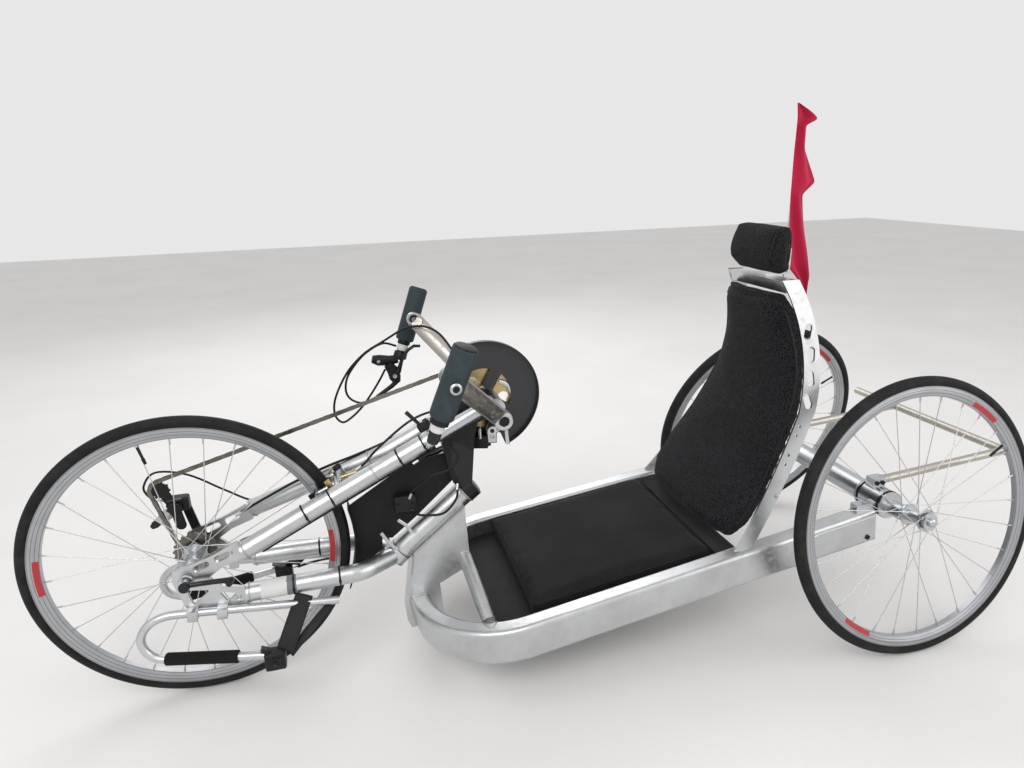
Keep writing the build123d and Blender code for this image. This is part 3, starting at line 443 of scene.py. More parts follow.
@dataclass(frozen=True)
class WovenCloth(Finish):
    """Plain woven cloth with a crossing weave and soft creases."""

    colour: Colour = (0.018, 0.018, 0.02)
    faded: Colour = (0.045, 0.045, 0.048)
    threads: float = 900.0
    crease: float = 0.0012
    sheen: float = 0.03

    def build(self) -> bpy.types.Material:
        """Two crossing waves make the weave.

        Returns:
            The material.
        """
        graph = Graph(self.name)
        x, y, z = graph.axes(graph.place((self.threads * math.tau, self.threads * math.tau, self.threads * math.tau)))
        weave = (x + z * 0.5).wave() * (y + z * 0.5).wave()
        crease = graph.noise(graph.place((1.0, 1.0, 1.6)), 11.0, 4.0, 0.5)
        fade = graph.ramp(graph.noise(graph.place(), 6.0, 5.0, 0.6), 0.4, 0.75)
        return graph.finish(base_color=graph.mix(fade, self.colour, self.faded), roughness=0.72 + 0.12 * weave,
                            specular_ior_level=0.15, sheen_weight=self.sheen, sheen_roughness=0.5,
                            normal=graph.bump(0.1 * weave + crease, self.crease))


@dataclass(frozen=True)
class CarbonWeave(Finish):
    """Lacquered plain weave seen from the side."""

    dark: Colour = (0.004, 0.004, 0.005)
    light: Colour = (0.04, 0.042, 0.046)
    tow: float = 0.0044

    def build(self) -> bpy.types.Material:
        """Warp and weft show in turn, as the squares of a board.

        Returns:
            The material.
        """
        graph = Graph(self.name)
        scale = 1.0 / self.tow
        x, _, z = graph.axes(graph.place((scale, scale, scale), rotation=(0.0, 0.35, 0.0)))
        step = ((x.part() < 0.5) - (z.part() < 0.5)).size()
        thread = (x * 2.0 * math.pi).wave() * (z * 2.0 * math.pi).wave()
        rough = 0.3 + 0.2 * step
        return graph.finish(base_color=graph.mix(step, self.dark, self.light), roughness=rough, specular_ior_level=0.35,
                            coat_weight=0.3, coat_roughness=0.12, normal=graph.bump(step + 0.3 * thread, 0.00015))


@dataclass(frozen=True)
class Floor(Finish):
    """Pale floor that shows as its plain colour away from the shadow."""

    colour: Colour = (0.8, 0.79, 0.78)

    def build(self) -> bpy.types.Material:
        """A matte surface with a faint unevenness.

        Returns:
            The material.
        """
        graph = Graph(self.name)
        patch = graph.noise(graph.place(), 1.6, 5.0)
        shade = graph.mix(graph.ramp(patch, 0.3, 0.7), self.colour, tuple(0.94 * part for part in self.colour))
        return graph.finish(base_color=shade, roughness=0.9)


BRUSHED = Metal("brushed_alloy_finish")
CAST_ALLOY = Metal("cast_alloy_finish", (0.5, 0.49, 0.47), 0.38, 0.18, (30.0, 30.0, 30.0), 0.00008)
BRIGHT = Metal("bright_alloy_finish", (0.55, 0.57, 0.59), 0.3, 0.1, (40.0, 40.0, 40.0), 0.00003, grime_share=0.2)
BAR_METAL = Metal("bar_finish", (0.5, 0.47, 0.42), 0.36, 0.2, (50.0, 6.0, 50.0), 0.00006)
CRANK_METAL = Metal("crank_finish", (0.48, 0.45, 0.41), 0.34, 0.2, (20.0, 20.0, 20.0), 0.00006)
SPOKE_STEEL = Metal("spoke_finish", (0.6, 0.6, 0.6), 0.24, 0.08, (20.0, 20.0, 20.0), 0.00001, grime_share=0.2)
OILED_STEEL = Metal("oiled_steel_finish", (0.22, 0.2, 0.17), 0.34, 0.2, (60.0, 60.0, 60.0), 0.00005, (0.05, 0.04, 0.03),
                    0.8)
RING_METAL = Metal("ring_finish", (0.52, 0.4, 0.2), 0.36, 0.16, (30.0, 30.0, 30.0), 0.00005)
GOLD_METAL = Metal("gold_finish", (0.55, 0.42, 0.18), 0.3, 0.12, (50.0, 50.0, 50.0), 0.00003)
BLACK = Plastic("black_plastic_finish")
GLOSS_BLACK = Plastic("gloss_black_finish", (0.006, 0.006, 0.007), (0.018, 0.018, 0.018), 0.3, coat=0.25)
WEB_BLACK = Plastic("panel_finish", (0.006, 0.006, 0.007), (0.02, 0.02, 0.021), 0.62, 400.0, 0.0001)
GRIP_RUBBER = Plastic("grip_rubber_finish", (0.026, 0.04, 0.045), (0.06, 0.08, 0.085), 0.62, 500.0, 0.0002)
FOAM = Plastic("foam_finish", (0.006, 0.006, 0.006), (0.018, 0.018, 0.018), 0.9, 420.0, 0.0006)
CABLE = Plastic("cable_finish", (0.005, 0.005, 0.006), (0.016, 0.016, 0.016), 0.45)
WHITE = Plastic("white_finish", (0.64, 0.64, 0.63), (0.48, 0.47, 0.46), 0.45)
GREY_BAND = Plastic("grey_band_finish", (0.17, 0.18, 0.19), (0.24, 0.24, 0.24), 0.5)
SPACER_CLOTH = MeshCloth("spacer_cloth_finish")
CUSHION_CLOTH = WovenCloth("cushion_cloth_finish", (0.006, 0.006, 0.007), (0.015, 0.015, 0.016), threads=520.0)
STRAP_CLOTH = WovenCloth("strap_finish", (0.012, 0.012, 0.013), (0.03, 0.03, 0.03), 260.0, 0.0005)
FLAG_CLOTH = WovenCloth("flag_cloth_finish", (0.4, 0.008, 0.04), (0.52, 0.016, 0.06), 700.0, 0.0008, 0.1)
TYRE = TyreRubber("tyre_finish")
CARBON = CarbonWeave("carbon_finish")


# Making pieces

def add_piece(name: str, bm: bmesh.types.BMesh, body: Body, finishes: Finish | Sequence[Finish], slot: str,
              sharp: float = 35.0) -> bpy.types.Object:
    """Turn a bmesh into a piece that rides on a body.

    Args:
        name: the piece's name.
        bm: its mesh, freed here.
        body: the body it rides on.
        finishes: one finish, or one per material number of its faces.
        slot: passed on to add_mesh, where it is not used.
        sharp: angle in degrees over which an edge stays sharp.

    Returns:
        The piece.
    """
    bmesh.ops.remove_doubles(bm, verts=bm.verts, dist=MERGE_WITHIN)
    mesh = bpy.data.meshes.new(name)
    bm.to_mesh(mesh)
    bm.free()
    return add_mesh(name, mesh, body, finishes, slot, sharp)


def add_mesh(name: str, mesh: bpy.types.Mesh, body: Body, finishes: Finish | Sequence[Finish], slot: str,
             sharp: float = 35.0) -> bpy.types.Object:
    """Turn a mesh into a piece that rides on a body.

    Args:
        name: the piece's name.
        mesh: its mesh, with the material number of each face.
        body: the body it rides on.
        finishes: one finish, or one per material number.
        slot: not used.
        sharp: angle in degrees over which an edge stays sharp.

    Returns:
        The piece.
    """
    for polygon in mesh.polygons:
        polygon.use_smooth = True
    mesh.set_sharp_from_angle(angle=math.radians(sharp))
    marks = [polygon.material_index for polygon in mesh.polygons]
    mesh.materials.clear()
    for finish in [finishes] if isinstance(finishes, Finish) else finishes:
        mesh.materials.append(finish.material())
    mesh.polygons.foreach_set("material_index", marks)
    piece = bpy.data.objects.new(name, mesh)
    bpy.context.collection.objects.link(piece)
    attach(piece, body.value)
    LOG.info("%s: %d faces on %s", name, len(mesh.polygons), body.value)
    return piece


def recalc(bm: bmesh.types.BMesh) -> None:
    """Merge doubles and point the faces outwards."""
    bmesh.ops.remove_doubles(bm, verts=bm.verts, dist=MERGE_WITHIN)
    bmesh.ops.recalc_face_normals(bm, faces=bm.faces)


def mark_new(bm: bmesh.types.BMesh, before: set[bmesh.types.BMFace], material: int,
             outwards: bool = True) -> list[bmesh.types.BMFace]:
    """Give the faces that a bmesh has got in the meantime their material number.

    Args:
        bm: the bmesh.
        before: the faces that it had until then.
        material: material number of the new faces.
        outwards: point the new faces outwards as well.

    Returns:
        The new faces.
    """
    faces = [face for face in bm.faces if face not in before]
    if outwards:
        bmesh.ops.recalc_face_normals(bm, faces=faces)
    for face in faces:
        face.material_index = material
    return faces


def mirrored(point: Sequence[float], side: Side) -> Vector:
    """A point given for the left side, on the asked side."""
    return Vector((point[0], side.value * point[1], point[2]))


def facing(origin: Sequence[float], direction: Sequence[float], roll: float = 0.0) -> Matrix:
    """Matrix that puts Z along a direction at a point, turned by roll about it."""
    turn = Vector(direction).to_track_quat("Z", "Y").to_matrix().to_4x4()
    return Matrix.Translation(Vector(origin)) @ turn @ Matrix.Rotation(roll, 4, "Z")


def turned(bm: bmesh.types.BMesh, rows: Sequence[tuple[float, float]], place: Matrix, steps: int = 28,
           material: int = 0) -> None:
    """Add a turned piece.

    Args:
        bm: the bmesh to add to.
        rows: (radius, height) points along the outline, from one end to the other.
        place: puts the turning axis Z in the row frame.
        steps: faces round the axis.
        material: material number of its faces.
    """
    before = set(bm.faces)
    verts = [bm.verts.new((radius, 0.0, height)) for radius, height in rows]
    edges = [bm.edges.new(pair) for pair in zip(verts[:-1], verts[1:])]
    bmesh.ops.spin(bm, geom=[*verts, *edges], cent=(0, 0, 0), axis=(0, 0, 1), angle=math.tau, steps=steps,
                   use_merge=True)
    faces = [face for face in bm.faces if face not in before]
    points = list({vert for face in faces for vert in face.verts})
    bmesh.ops.remove_doubles(bm, verts=points, dist=1e-7)
    faces = mark_new(bm, before, material)
    bmesh.ops.transform(bm, matrix=place, verts=list({vert for face in faces for vert in face.verts}))


def bar(bm: bmesh.types.BMesh, start: Sequence[float], end: Sequence[float], radius: float,
        end_radius: float | None = None, sides: int = 16, material: int = 0) -> None:
    """Add a round bar between two points.

    Args:
        bm: the bmesh to add to.
        start: middle of its first end.
        end: middle of its other end.
        radius: its radius at the start.
        end_radius: its radius at the end, if another.
        sides: faces round it.
        material: material number of its faces.
    """
    run = Vector(end) - Vector(start)
    made = bmesh.ops.create_cone(bm, cap_ends=True, segments=sides, radius1=radius, radius2=end_radius or radius,
                                 depth=run.length, matrix=facing((Vector(start) + Vector(end)) / 2, run))
    for face in {face for vert in made["verts"] for face in vert.link_faces}:
        face.material_index = material


def brick(bm: bmesh.types.BMesh, place: Matrix, size: Sequence[float], bevel: float = 0.0, segments: int = 2,
          material: int = 0) -> None:
    """Add a box with bevelled edges.

    Args:
        bm: the bmesh to add to.
        place: its middle and turn.
        size: its three sides.
        bevel: width of its bevels.
        segments: faces across each bevel.
        material: material number of its faces.
    """
    before = set(bm.faces)
    made = bmesh.ops.create_cube(bm, size=1.0, matrix=place @ Matrix.Diagonal((*size, 1.0)))
    if bevel:
        edges = list({edge for vert in made["verts"] for edge in vert.link_edges})
        bmesh.ops.bevel(bm, geom=edges, offset=bevel, affect="EDGES", segments=segments, profile=0.5, material=-1)
    mark_new(bm, before, material, outwards=False)


def socket_bolt(bm: bmesh.types.BMesh, at: Sequence[float], axis: Sequence[float], radius: float, height: float,
                material: int = 0) -> None:
    """Add a cap bolt with a six-sided socket, its head standing on a face.

    Args:
        bm: the bmesh to add to.
        at: middle of the head's foot.
        axis: direction away from the face.
        radius: the head's radius.
        height: the head's height.
        material: material number of its faces.
    """
    out = Vector(axis).normalized()
    before = set(bm.faces)
    bmesh.ops.create_cone(bm, cap_ends=True, segments=18, radius1=radius, radius2=radius, depth=height,
                          matrix=facing(Vector(at) + out * height / 2, out))
    top = max((face for face in bm.faces if face not in before), key=lambda face: face.calc_center_median().dot(out))
    bmesh.ops.inset_region(bm, faces=[top], thickness=0.12 * radius, depth=-0.0)
    bmesh.ops.inset_region(bm, faces=[top], thickness=0.33 * radius)
    bmesh.ops.translate(bm, vec=-0.6 * height * out, verts=top.verts)
    mark_new(bm, before, material, outwards=False)


def lofted(bm: bmesh.types.BMesh, stations: Sequence[tuple[Matrix, float, float]], segments: int = 28,
           material: int = 0) -> None:
    """Add a closed body through elliptical sections.

    Args:
        bm: the bmesh to add to.
        stations: for each section its place and its two half widths.
        segments: sides of each section.
        material: material number of its faces.
    """
    before = set(bm.faces)
    rings = []
    for place, half_x, half_y in stations:
        matrix = place @ Matrix.Diagonal((half_x, half_y, 1.0, 1.0))
        rings.append(bmesh.ops.create_circle(bm, segments=segments, radius=1.0, matrix=matrix)["verts"])
    for first, second in zip(rings[:-1], rings[1:]):
        rims = []
        for ring in (set(first), set(second)):
            rims += list({edge for vert in ring for edge in vert.link_edges if edge.other_vert(vert) in ring})
        bmesh.ops.bridge_loops(bm, edges=rims)
    for ring in (rings[0], rings[-1]):
        bm.faces.new(ring)
    mark_new(bm, before, material)


def blade(bm: bmesh.types.BMesh, rows: Sequence[tuple[Point, float, float]], segments: int = 20,
          material: int = 0) -> None:
    """Add a smooth bent body that lies square to Y.

    Args:
        bm: the bmesh to add to.
        rows: points of its middle line, each with its half width in the plane of X and Z and its half width along Y.
        segments: sides of its section.
        material: material number of its faces.
    """
    points = [Vector(row[0]) for row in rows]
    stations = []
    for number, (point, half, deep) in enumerate(rows):
        run = (points[min(number + 1, len(points) - 1)] - points[max(number - 1, 0)]).normalized()
        across = run.cross(Vector((0, 1, 0))).normalized()
        third = run.cross(across).normalized()
        stations.append((Matrix.Translation(point) @ Matrix((across, third, run)).transposed().to_4x4(), half, deep))
    lofted(bm, stations, segments, material)


def plate(bm: bmesh.types.BMesh, outline: Sequence[tuple[float, float]], y0: float, y1: float,
          material: int = 0) -> None:
    """Add a flat plate from an outline of X and Z, between two Y values.

    Args:
        bm: the bmesh to add to.
        outline: its corners as X and Z.
        y0: Y of one face.
        y1: Y of the other face.
        material: material number of its faces.
    """
    before = set(bm.faces)
    face = bm.faces.new([bm.verts.new((x, y0, z)) for x, z in outline])
    raised = bmesh.ops.extrude_face_region(bm, geom=[face])["geom"]
    bmesh.ops.translate(bm, vec=(0, y1 - y0, 0),
                        verts=[item for item in raised if isinstance(item, bmesh.types.BMVert)])
    mark_new(bm, before, material)


def line_mesh(points: Sequence[Sequence[float]], radius: float, smooth: bool = True, closed: bool = False,
              sides: int = 4, swell: Callable[[int], float] | None = None) -> bpy.types.Mesh:
    """Round cord along points.

    Args:
        points: control points, or points on the line where it isn't smoothed.
        radius: the cord's radius.
        smooth: a NURBS line of order 3 if true, else straight runs.
        closed: joined end to end.
        sides: half the resolution round the cord.
        swell: factor on the radius by the point's number.

    Returns:
        The cord's mesh.
    """
    curve = bpy.data.curves.new("line", "CURVE")
    curve.dimensions = "3D"
    curve.bevel_depth = radius
    curve.bevel_resolution = sides
    curve.use_fill_caps = not closed
    spline = curve.splines.new("NURBS" if smooth else "POLY")
    spline.points.add(len(points) - 1)
    for number, point in enumerate(points):
        spline.points[number].co = (*point, 1.0)
        spline.points[number].radius = swell(number) if swell else 1.0
    if smooth:
        spline.order_u = 3
        spline.use_endpoint_u = not closed
        spline.resolution_u = 10
    spline.use_cyclic_u = closed
    holder = bpy.data.objects.new("line", curve)
    mesh = bpy.data.meshes.new_from_object(holder)
    bpy.data.objects.remove(holder)
    bpy.data.curves.remove(curve)
    return mesh


def smoothed(points: Sequence[Sequence[float]], steps: int = 6) -> list[Vector]:
    """Points along a smooth line that passes through all the given ones.

    Args:
        points: what the line passes through.
        steps: points made for each given one.

    Returns:
        The points of the line.
    """
    knots = [Vector(point) for point in points]
    knots = [2 * knots[0] - knots[1], *knots, 2 * knots[-1] - knots[-2]]
    line = []
    for a, b, c, d in zip(knots[:-3], knots[1:-2], knots[2:-1], knots[3:]):
        for step in range(steps):
            t = step / steps
            cubic = (2 * a - 5 * b + 4 * c - d) * t * t + (3 * b - a - 3 * c + d) * t ** 3
            line.append(0.5 * ((2 * b) + (c - a) * t + cubic))
    return [*line, knots[-2]]


def add_cord(name: str, points: Sequence[Point], radius: float, body: Body, finish: Finish,
             slot: str) -> bpy.types.Object:
    """Stiff housing through points, from one fitting to another.

    Args:
        name: the piece's name.
        points: what its middle line passes through.
        radius: its radius.
        body: the body it rides on.
        finish: its finish.
        slot: passed on to add_mesh, where it is not used.

    Returns:
        The housing.
    """
    line = smoothed(points)
    piece = add_mesh(name, line_mesh(line, radius, smooth=False, sides=4), body, finish, slot, 60.0)
    length = sum((b - a).length for a, b in zip(line[:-1], line[1:]))
    tuple(line[0])
    2 * radius
    [tuple(point) for point in line]
    return piece


def join_lines(meshes: Iterable[bpy.types.Mesh]) -> bmesh.types.BMesh:
    """Gather several meshes in one bmesh.

    Args:
        meshes: the meshes, removed here.

    Returns:
        The bmesh with all of them.
    """
    bm = bmesh.new()
    for mesh in meshes:
        bm.from_mesh(mesh)
        bpy.data.meshes.remove(mesh)
    return bm


def ring_points(centre: Sequence[float], axis: Sequence[float], radius: float, count: int) -> list[Vector]:
    """Points of a circle about an axis.

    Args:
        centre: the circle's middle.
        axis: its axis.
        radius: its radius.
        count: how many points.

    Returns:
        The points, in order.
    """
    place = facing(centre, axis)
    return [place @ Vector((radius * math.cos(math.tau * n / count), radius * math.sin(math.tau * n / count), 0.0))
            for n in range(count)]


def weld_swell(number: int) -> float:
    """Thickness of a weld bead along its ripples."""
    return 1.0 if number % 2 else 0.74


def ring_bead(centre: Sequence[float], axis: Sequence[float], radius: float, bead: float, count: int = 64,
              rippled: bool = True) -> bpy.types.Mesh:
    """Bead that runs round a tube.

    Args:
        centre: the ring's middle.
        axis: the tube's direction.
        radius: the ring's radius.
        bead: the bead's own radius.
        count: points of the ring.
        rippled: with a weld's ripples, else even.

    Returns:
        The bead.
    """
    points = ring_points(centre, axis, radius, count)
    return line_mesh(points, bead, smooth=False, closed=True, sides=2, swell=weld_swell if rippled else None)


def paint(finish: Finish, *nodes: str) -> None:
    """Give a finish to CAD nodes.

    Args:
        finish: the finish.
        nodes: the nodes' names.
    """
    for node in nodes:
        for material_slot in FRAME["nodes"][node].material_slots:
            material_slot.material = finish.material()


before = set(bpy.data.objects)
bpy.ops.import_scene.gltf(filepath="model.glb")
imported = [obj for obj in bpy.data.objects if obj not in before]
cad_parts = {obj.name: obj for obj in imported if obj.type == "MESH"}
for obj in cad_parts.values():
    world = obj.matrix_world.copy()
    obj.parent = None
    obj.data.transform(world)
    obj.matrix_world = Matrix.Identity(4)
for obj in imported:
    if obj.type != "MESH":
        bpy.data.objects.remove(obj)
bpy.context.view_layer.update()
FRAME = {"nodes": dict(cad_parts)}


class Surface:
    """The surface of a piece or CAD node, to set details on."""

    def __init__(self, piece: bpy.types.Object) -> None:
        """Keep the piece's triangles as it is shown."""
        self.tree = BVHTree.FromObject(piece, bpy.context.evaluated_depsgraph_get())

    def hit(self, origin: Sequence[float], direction: Sequence[float]) -> tuple[Vector, Vector] | None:
        """First point and normal met by a ray, or None."""
        point, normal, _, _ = self.tree.ray_cast(Vector(origin), Vector(direction).normalized())
        return None if point is None else (point, normal)

    def nearest(self, point: Sequence[float]) -> Vector:
        """Nearest point of the surface."""
        return self.tree.find_nearest(Vector(point))[0]


def butt_weld(surface: Surface, start: Sequence[float], direction: Sequence[float], radius: float, bead: float = 0.0022,
              count: int = 56) -> bpy.types.Mesh | None:
    """Weld bead where a round tube meets a surface.

    Args:
        surface: what the tube is welded to.
        start: a point on the tube's axis, before the surface.
        direction: along the tube, towards the surface.
        radius: the tube's radius.
        bead: the bead's radius.
        count: ripples of the bead, times two.

    Returns:
        The bead, or None if the tube misses the surface.
    """
    points = []
    for point in ring_points(start, direction, radius, count):
        met = surface.hit(point, direction)
        if met:
            points.append(met[0])
    if len(points) < count // 2:
        return None
    return line_mesh(points, bead, smooth=False, closed=len(points) == count, sides=2, swell=weld_swell)


# Wheels

@dataclass
class Wheel:
    """One wheel: tyre, nipples, valve and the dressed rim."""

    name: str
    body: Body
    centre: Point
    camber: float
    rim_finish: RimMetal
    valve_turn: float
    rim_node: str
    tyre_node: str
    hub_node: str
    spoke_node: str
    mid_radius: float = 0.2925
    section_radius: float = 0.0125
    rim_inner: float = 0.2625
    spokes: int = 28
    rim_offset: float = 0.0015
    steps: int = 168
    nipple_from: float = -0.013
    nipple_to: float = 0.001
    nipple_radii: tuple[float, float] = (0.0013, 0.0021)
    valve_parts: tuple[tuple[float, float, float, float, int, int], ...] = (
        (0.001, -0.03, 0.003, 0.0026, 12, 1), (-0.03, -0.041, 0.0034, 0.0028, 12, 1),
        (0.0, -0.004, 0.0048, 0.0042, 6, 0))

    def place(self) -> Matrix:
        """The wheel's own frame, its axle along Y."""
        return Matrix.Translation(Vector(self.centre)) @ Matrix.Rotation(self.camber, 4, "X")

    def spoke_out(self, turn: float) -> Vector:
        """Outward direction at an angle, in the wheel's frame."""
        return Vector((math.cos(turn), 0.0, math.sin(turn)))

    def build_tyre(self) -> bpy.types.Object:
        """Spin the section round the axle and map its tread.

        Returns:
            The tyre.
        """
        bm = bmesh.new()
        made = bmesh.ops.create_circle(bm, segments=20, radius=self.section_radius,
                                       matrix=Matrix.Translation((self.mid_radius, 0.0, 0.0)))
        edges = list({edge for vert in made["verts"] for edge in vert.link_edges})
        bmesh.ops.spin(bm, geom=[*made["verts"], *edges], cent=(0, 0, 0), axis=(0, 1, 0), angle=math.tau,
                       steps=self.steps, use_merge=True)
        recalc(bm)
        layer = bm.loops.layers.uv.new("tread")
        for face in bm.faces:
            turns = [math.atan2(loop.vert.co.z, loop.vert.co.x) / math.tau for loop in face.loops]
            wraps = max(turns) - min(turns) > 0.5
            for loop, turn in zip(face.loops, turns):
                out = math.hypot(loop.vert.co.x, loop.vert.co.z) - self.mid_radius
                section = math.atan2(loop.vert.co.y, out) / (math.pi / 2)
                if out < -0.5 * self.section_radius:
                    section = math.copysign(1.6, section)
                loop[layer].uv = (turn + 1.0 if wraps and turn < 0.0 else turn, section)
        bmesh.ops.transform(bm, matrix=self.place(), verts=bm.verts)
        piece = add_piece(self.name + "_tread_tyre", bm, self.body, TYRE, "tyre", 80.0)
        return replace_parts(piece, self.tyre_node)

    def build_nipples(self) -> bpy.types.Object:
        """One nipple at each spoke's rim end, and the valve.

        Returns:
            The nipples and valve.
        """
        bm = bmesh.new()
        for number in range(self.spokes):
            turn = math.tau * number / self.spokes
            side = 1 if number % 2 else -1
            out = self.spoke_out(turn)
            aside = Vector((0.0, side * self.rim_offset, 0.0))
            bar(bm, out * (self.rim_inner + self.nipple_from) + aside, out * (self.rim_inner + self.nipple_to) + aside,
                *self.nipple_radii, 8)
        out = self.spoke_out(self.valve_turn)
        for start, end, radius, end_radius, sides, material in self.valve_parts:
            bar(bm, out * (self.rim_inner + start), out * (self.rim_inner + end), radius, end_radius, sides, material)
        bmesh.ops.transform(bm, matrix=self.place(), verts=bm.verts)
        return add_piece(self.name + "_nipples", bm, self.body, (BRIGHT, BLACK), "spoke_steel")

    def dress(self) -> None:
        """Build the tyre and small parts, and finish the CAD nodes."""
        self.build_tyre()
        self.build_nipples()
        paint(self.rim_finish, self.rim_node)
        paint(SPOKE_STEEL, self.spoke_node)
        paint(BRIGHT, self.hub_node)


@dataclass
class Wheels:
    """The three wheels and the rear hubs' domed caps."""

    front_centre: Point = (0.775, 0.0, 0.305)
    rear_x: float = -0.705
    rear_y: float = 0.287
    rear_z: float = 0.30029
    camber: float = math.radians(10.3)
    front_marks: tuple[float, ...] = (math.pi + 0.05, 0.05)
    rear_marks: tuple[float, ...] = (2.23, -0.93)
    front_valve: float = 1.35
    rear_valve: float = 2.62
    cap_at: float = 0.0364
    cap_rows: Rows = ((0.0, -0.001), (0.0092, -0.001), (0.0094, 0.001), (0.0082, 0.0032), (0.005, 0.005), (0.0, 0.0056))

    def rim(self, name: str, centre: Point, camber: float, turns: tuple[float, ...]) -> RimMetal:
        """Rim finish about one wheel's axis."""
        return RimMetal(name, centre, camber, mark_turns=turns)

    def build(self) -> None:
        """Dress the front wheel and both rear wheels."""
        front_rim = self.rim("front_rim_finish", self.front_centre, 0.0, self.front_marks)
        Wheel("front", Body.FRONT_WHEEL, self.front_centre, 0.0, front_rim, self.front_valve, "front_rim", "front_tyre",
              "front_hub", "front_spokes").dress()
        for side, body, word in ((Side.LEFT, Body.REAR_LEFT, "left"), (Side.RIGHT, Body.REAR_RIGHT, "right")):
            centre = (self.rear_x, side.value * self.rear_y, self.rear_z)
            camber = side.value * self.camber
            rim = self.rim("rear_rim_" + word + "_finish", centre, camber, self.rear_marks)
            wheel = Wheel("rear_" + word, body, centre, camber, rim, self.rear_valve, "rear_rim_" + word,
                          "rear_tyre_" + word, "rear_hub_" + word, "rear_spokes_" + word)
            wheel.dress()
            bm = bmesh.new()
            turned(bm, self.cap_rows, wheel.place() @ facing((0, side.value * self.cap_at, 0), (0, side.value, 0)))
            add_piece("hub_cap_" + word, bm, Body.FRAME, BRIGHT, "bright_alloy")
        paint(OILED_STEEL, "cassette")
        paint(BRIGHT, "axle_stubs", "front_axle")


# Drive

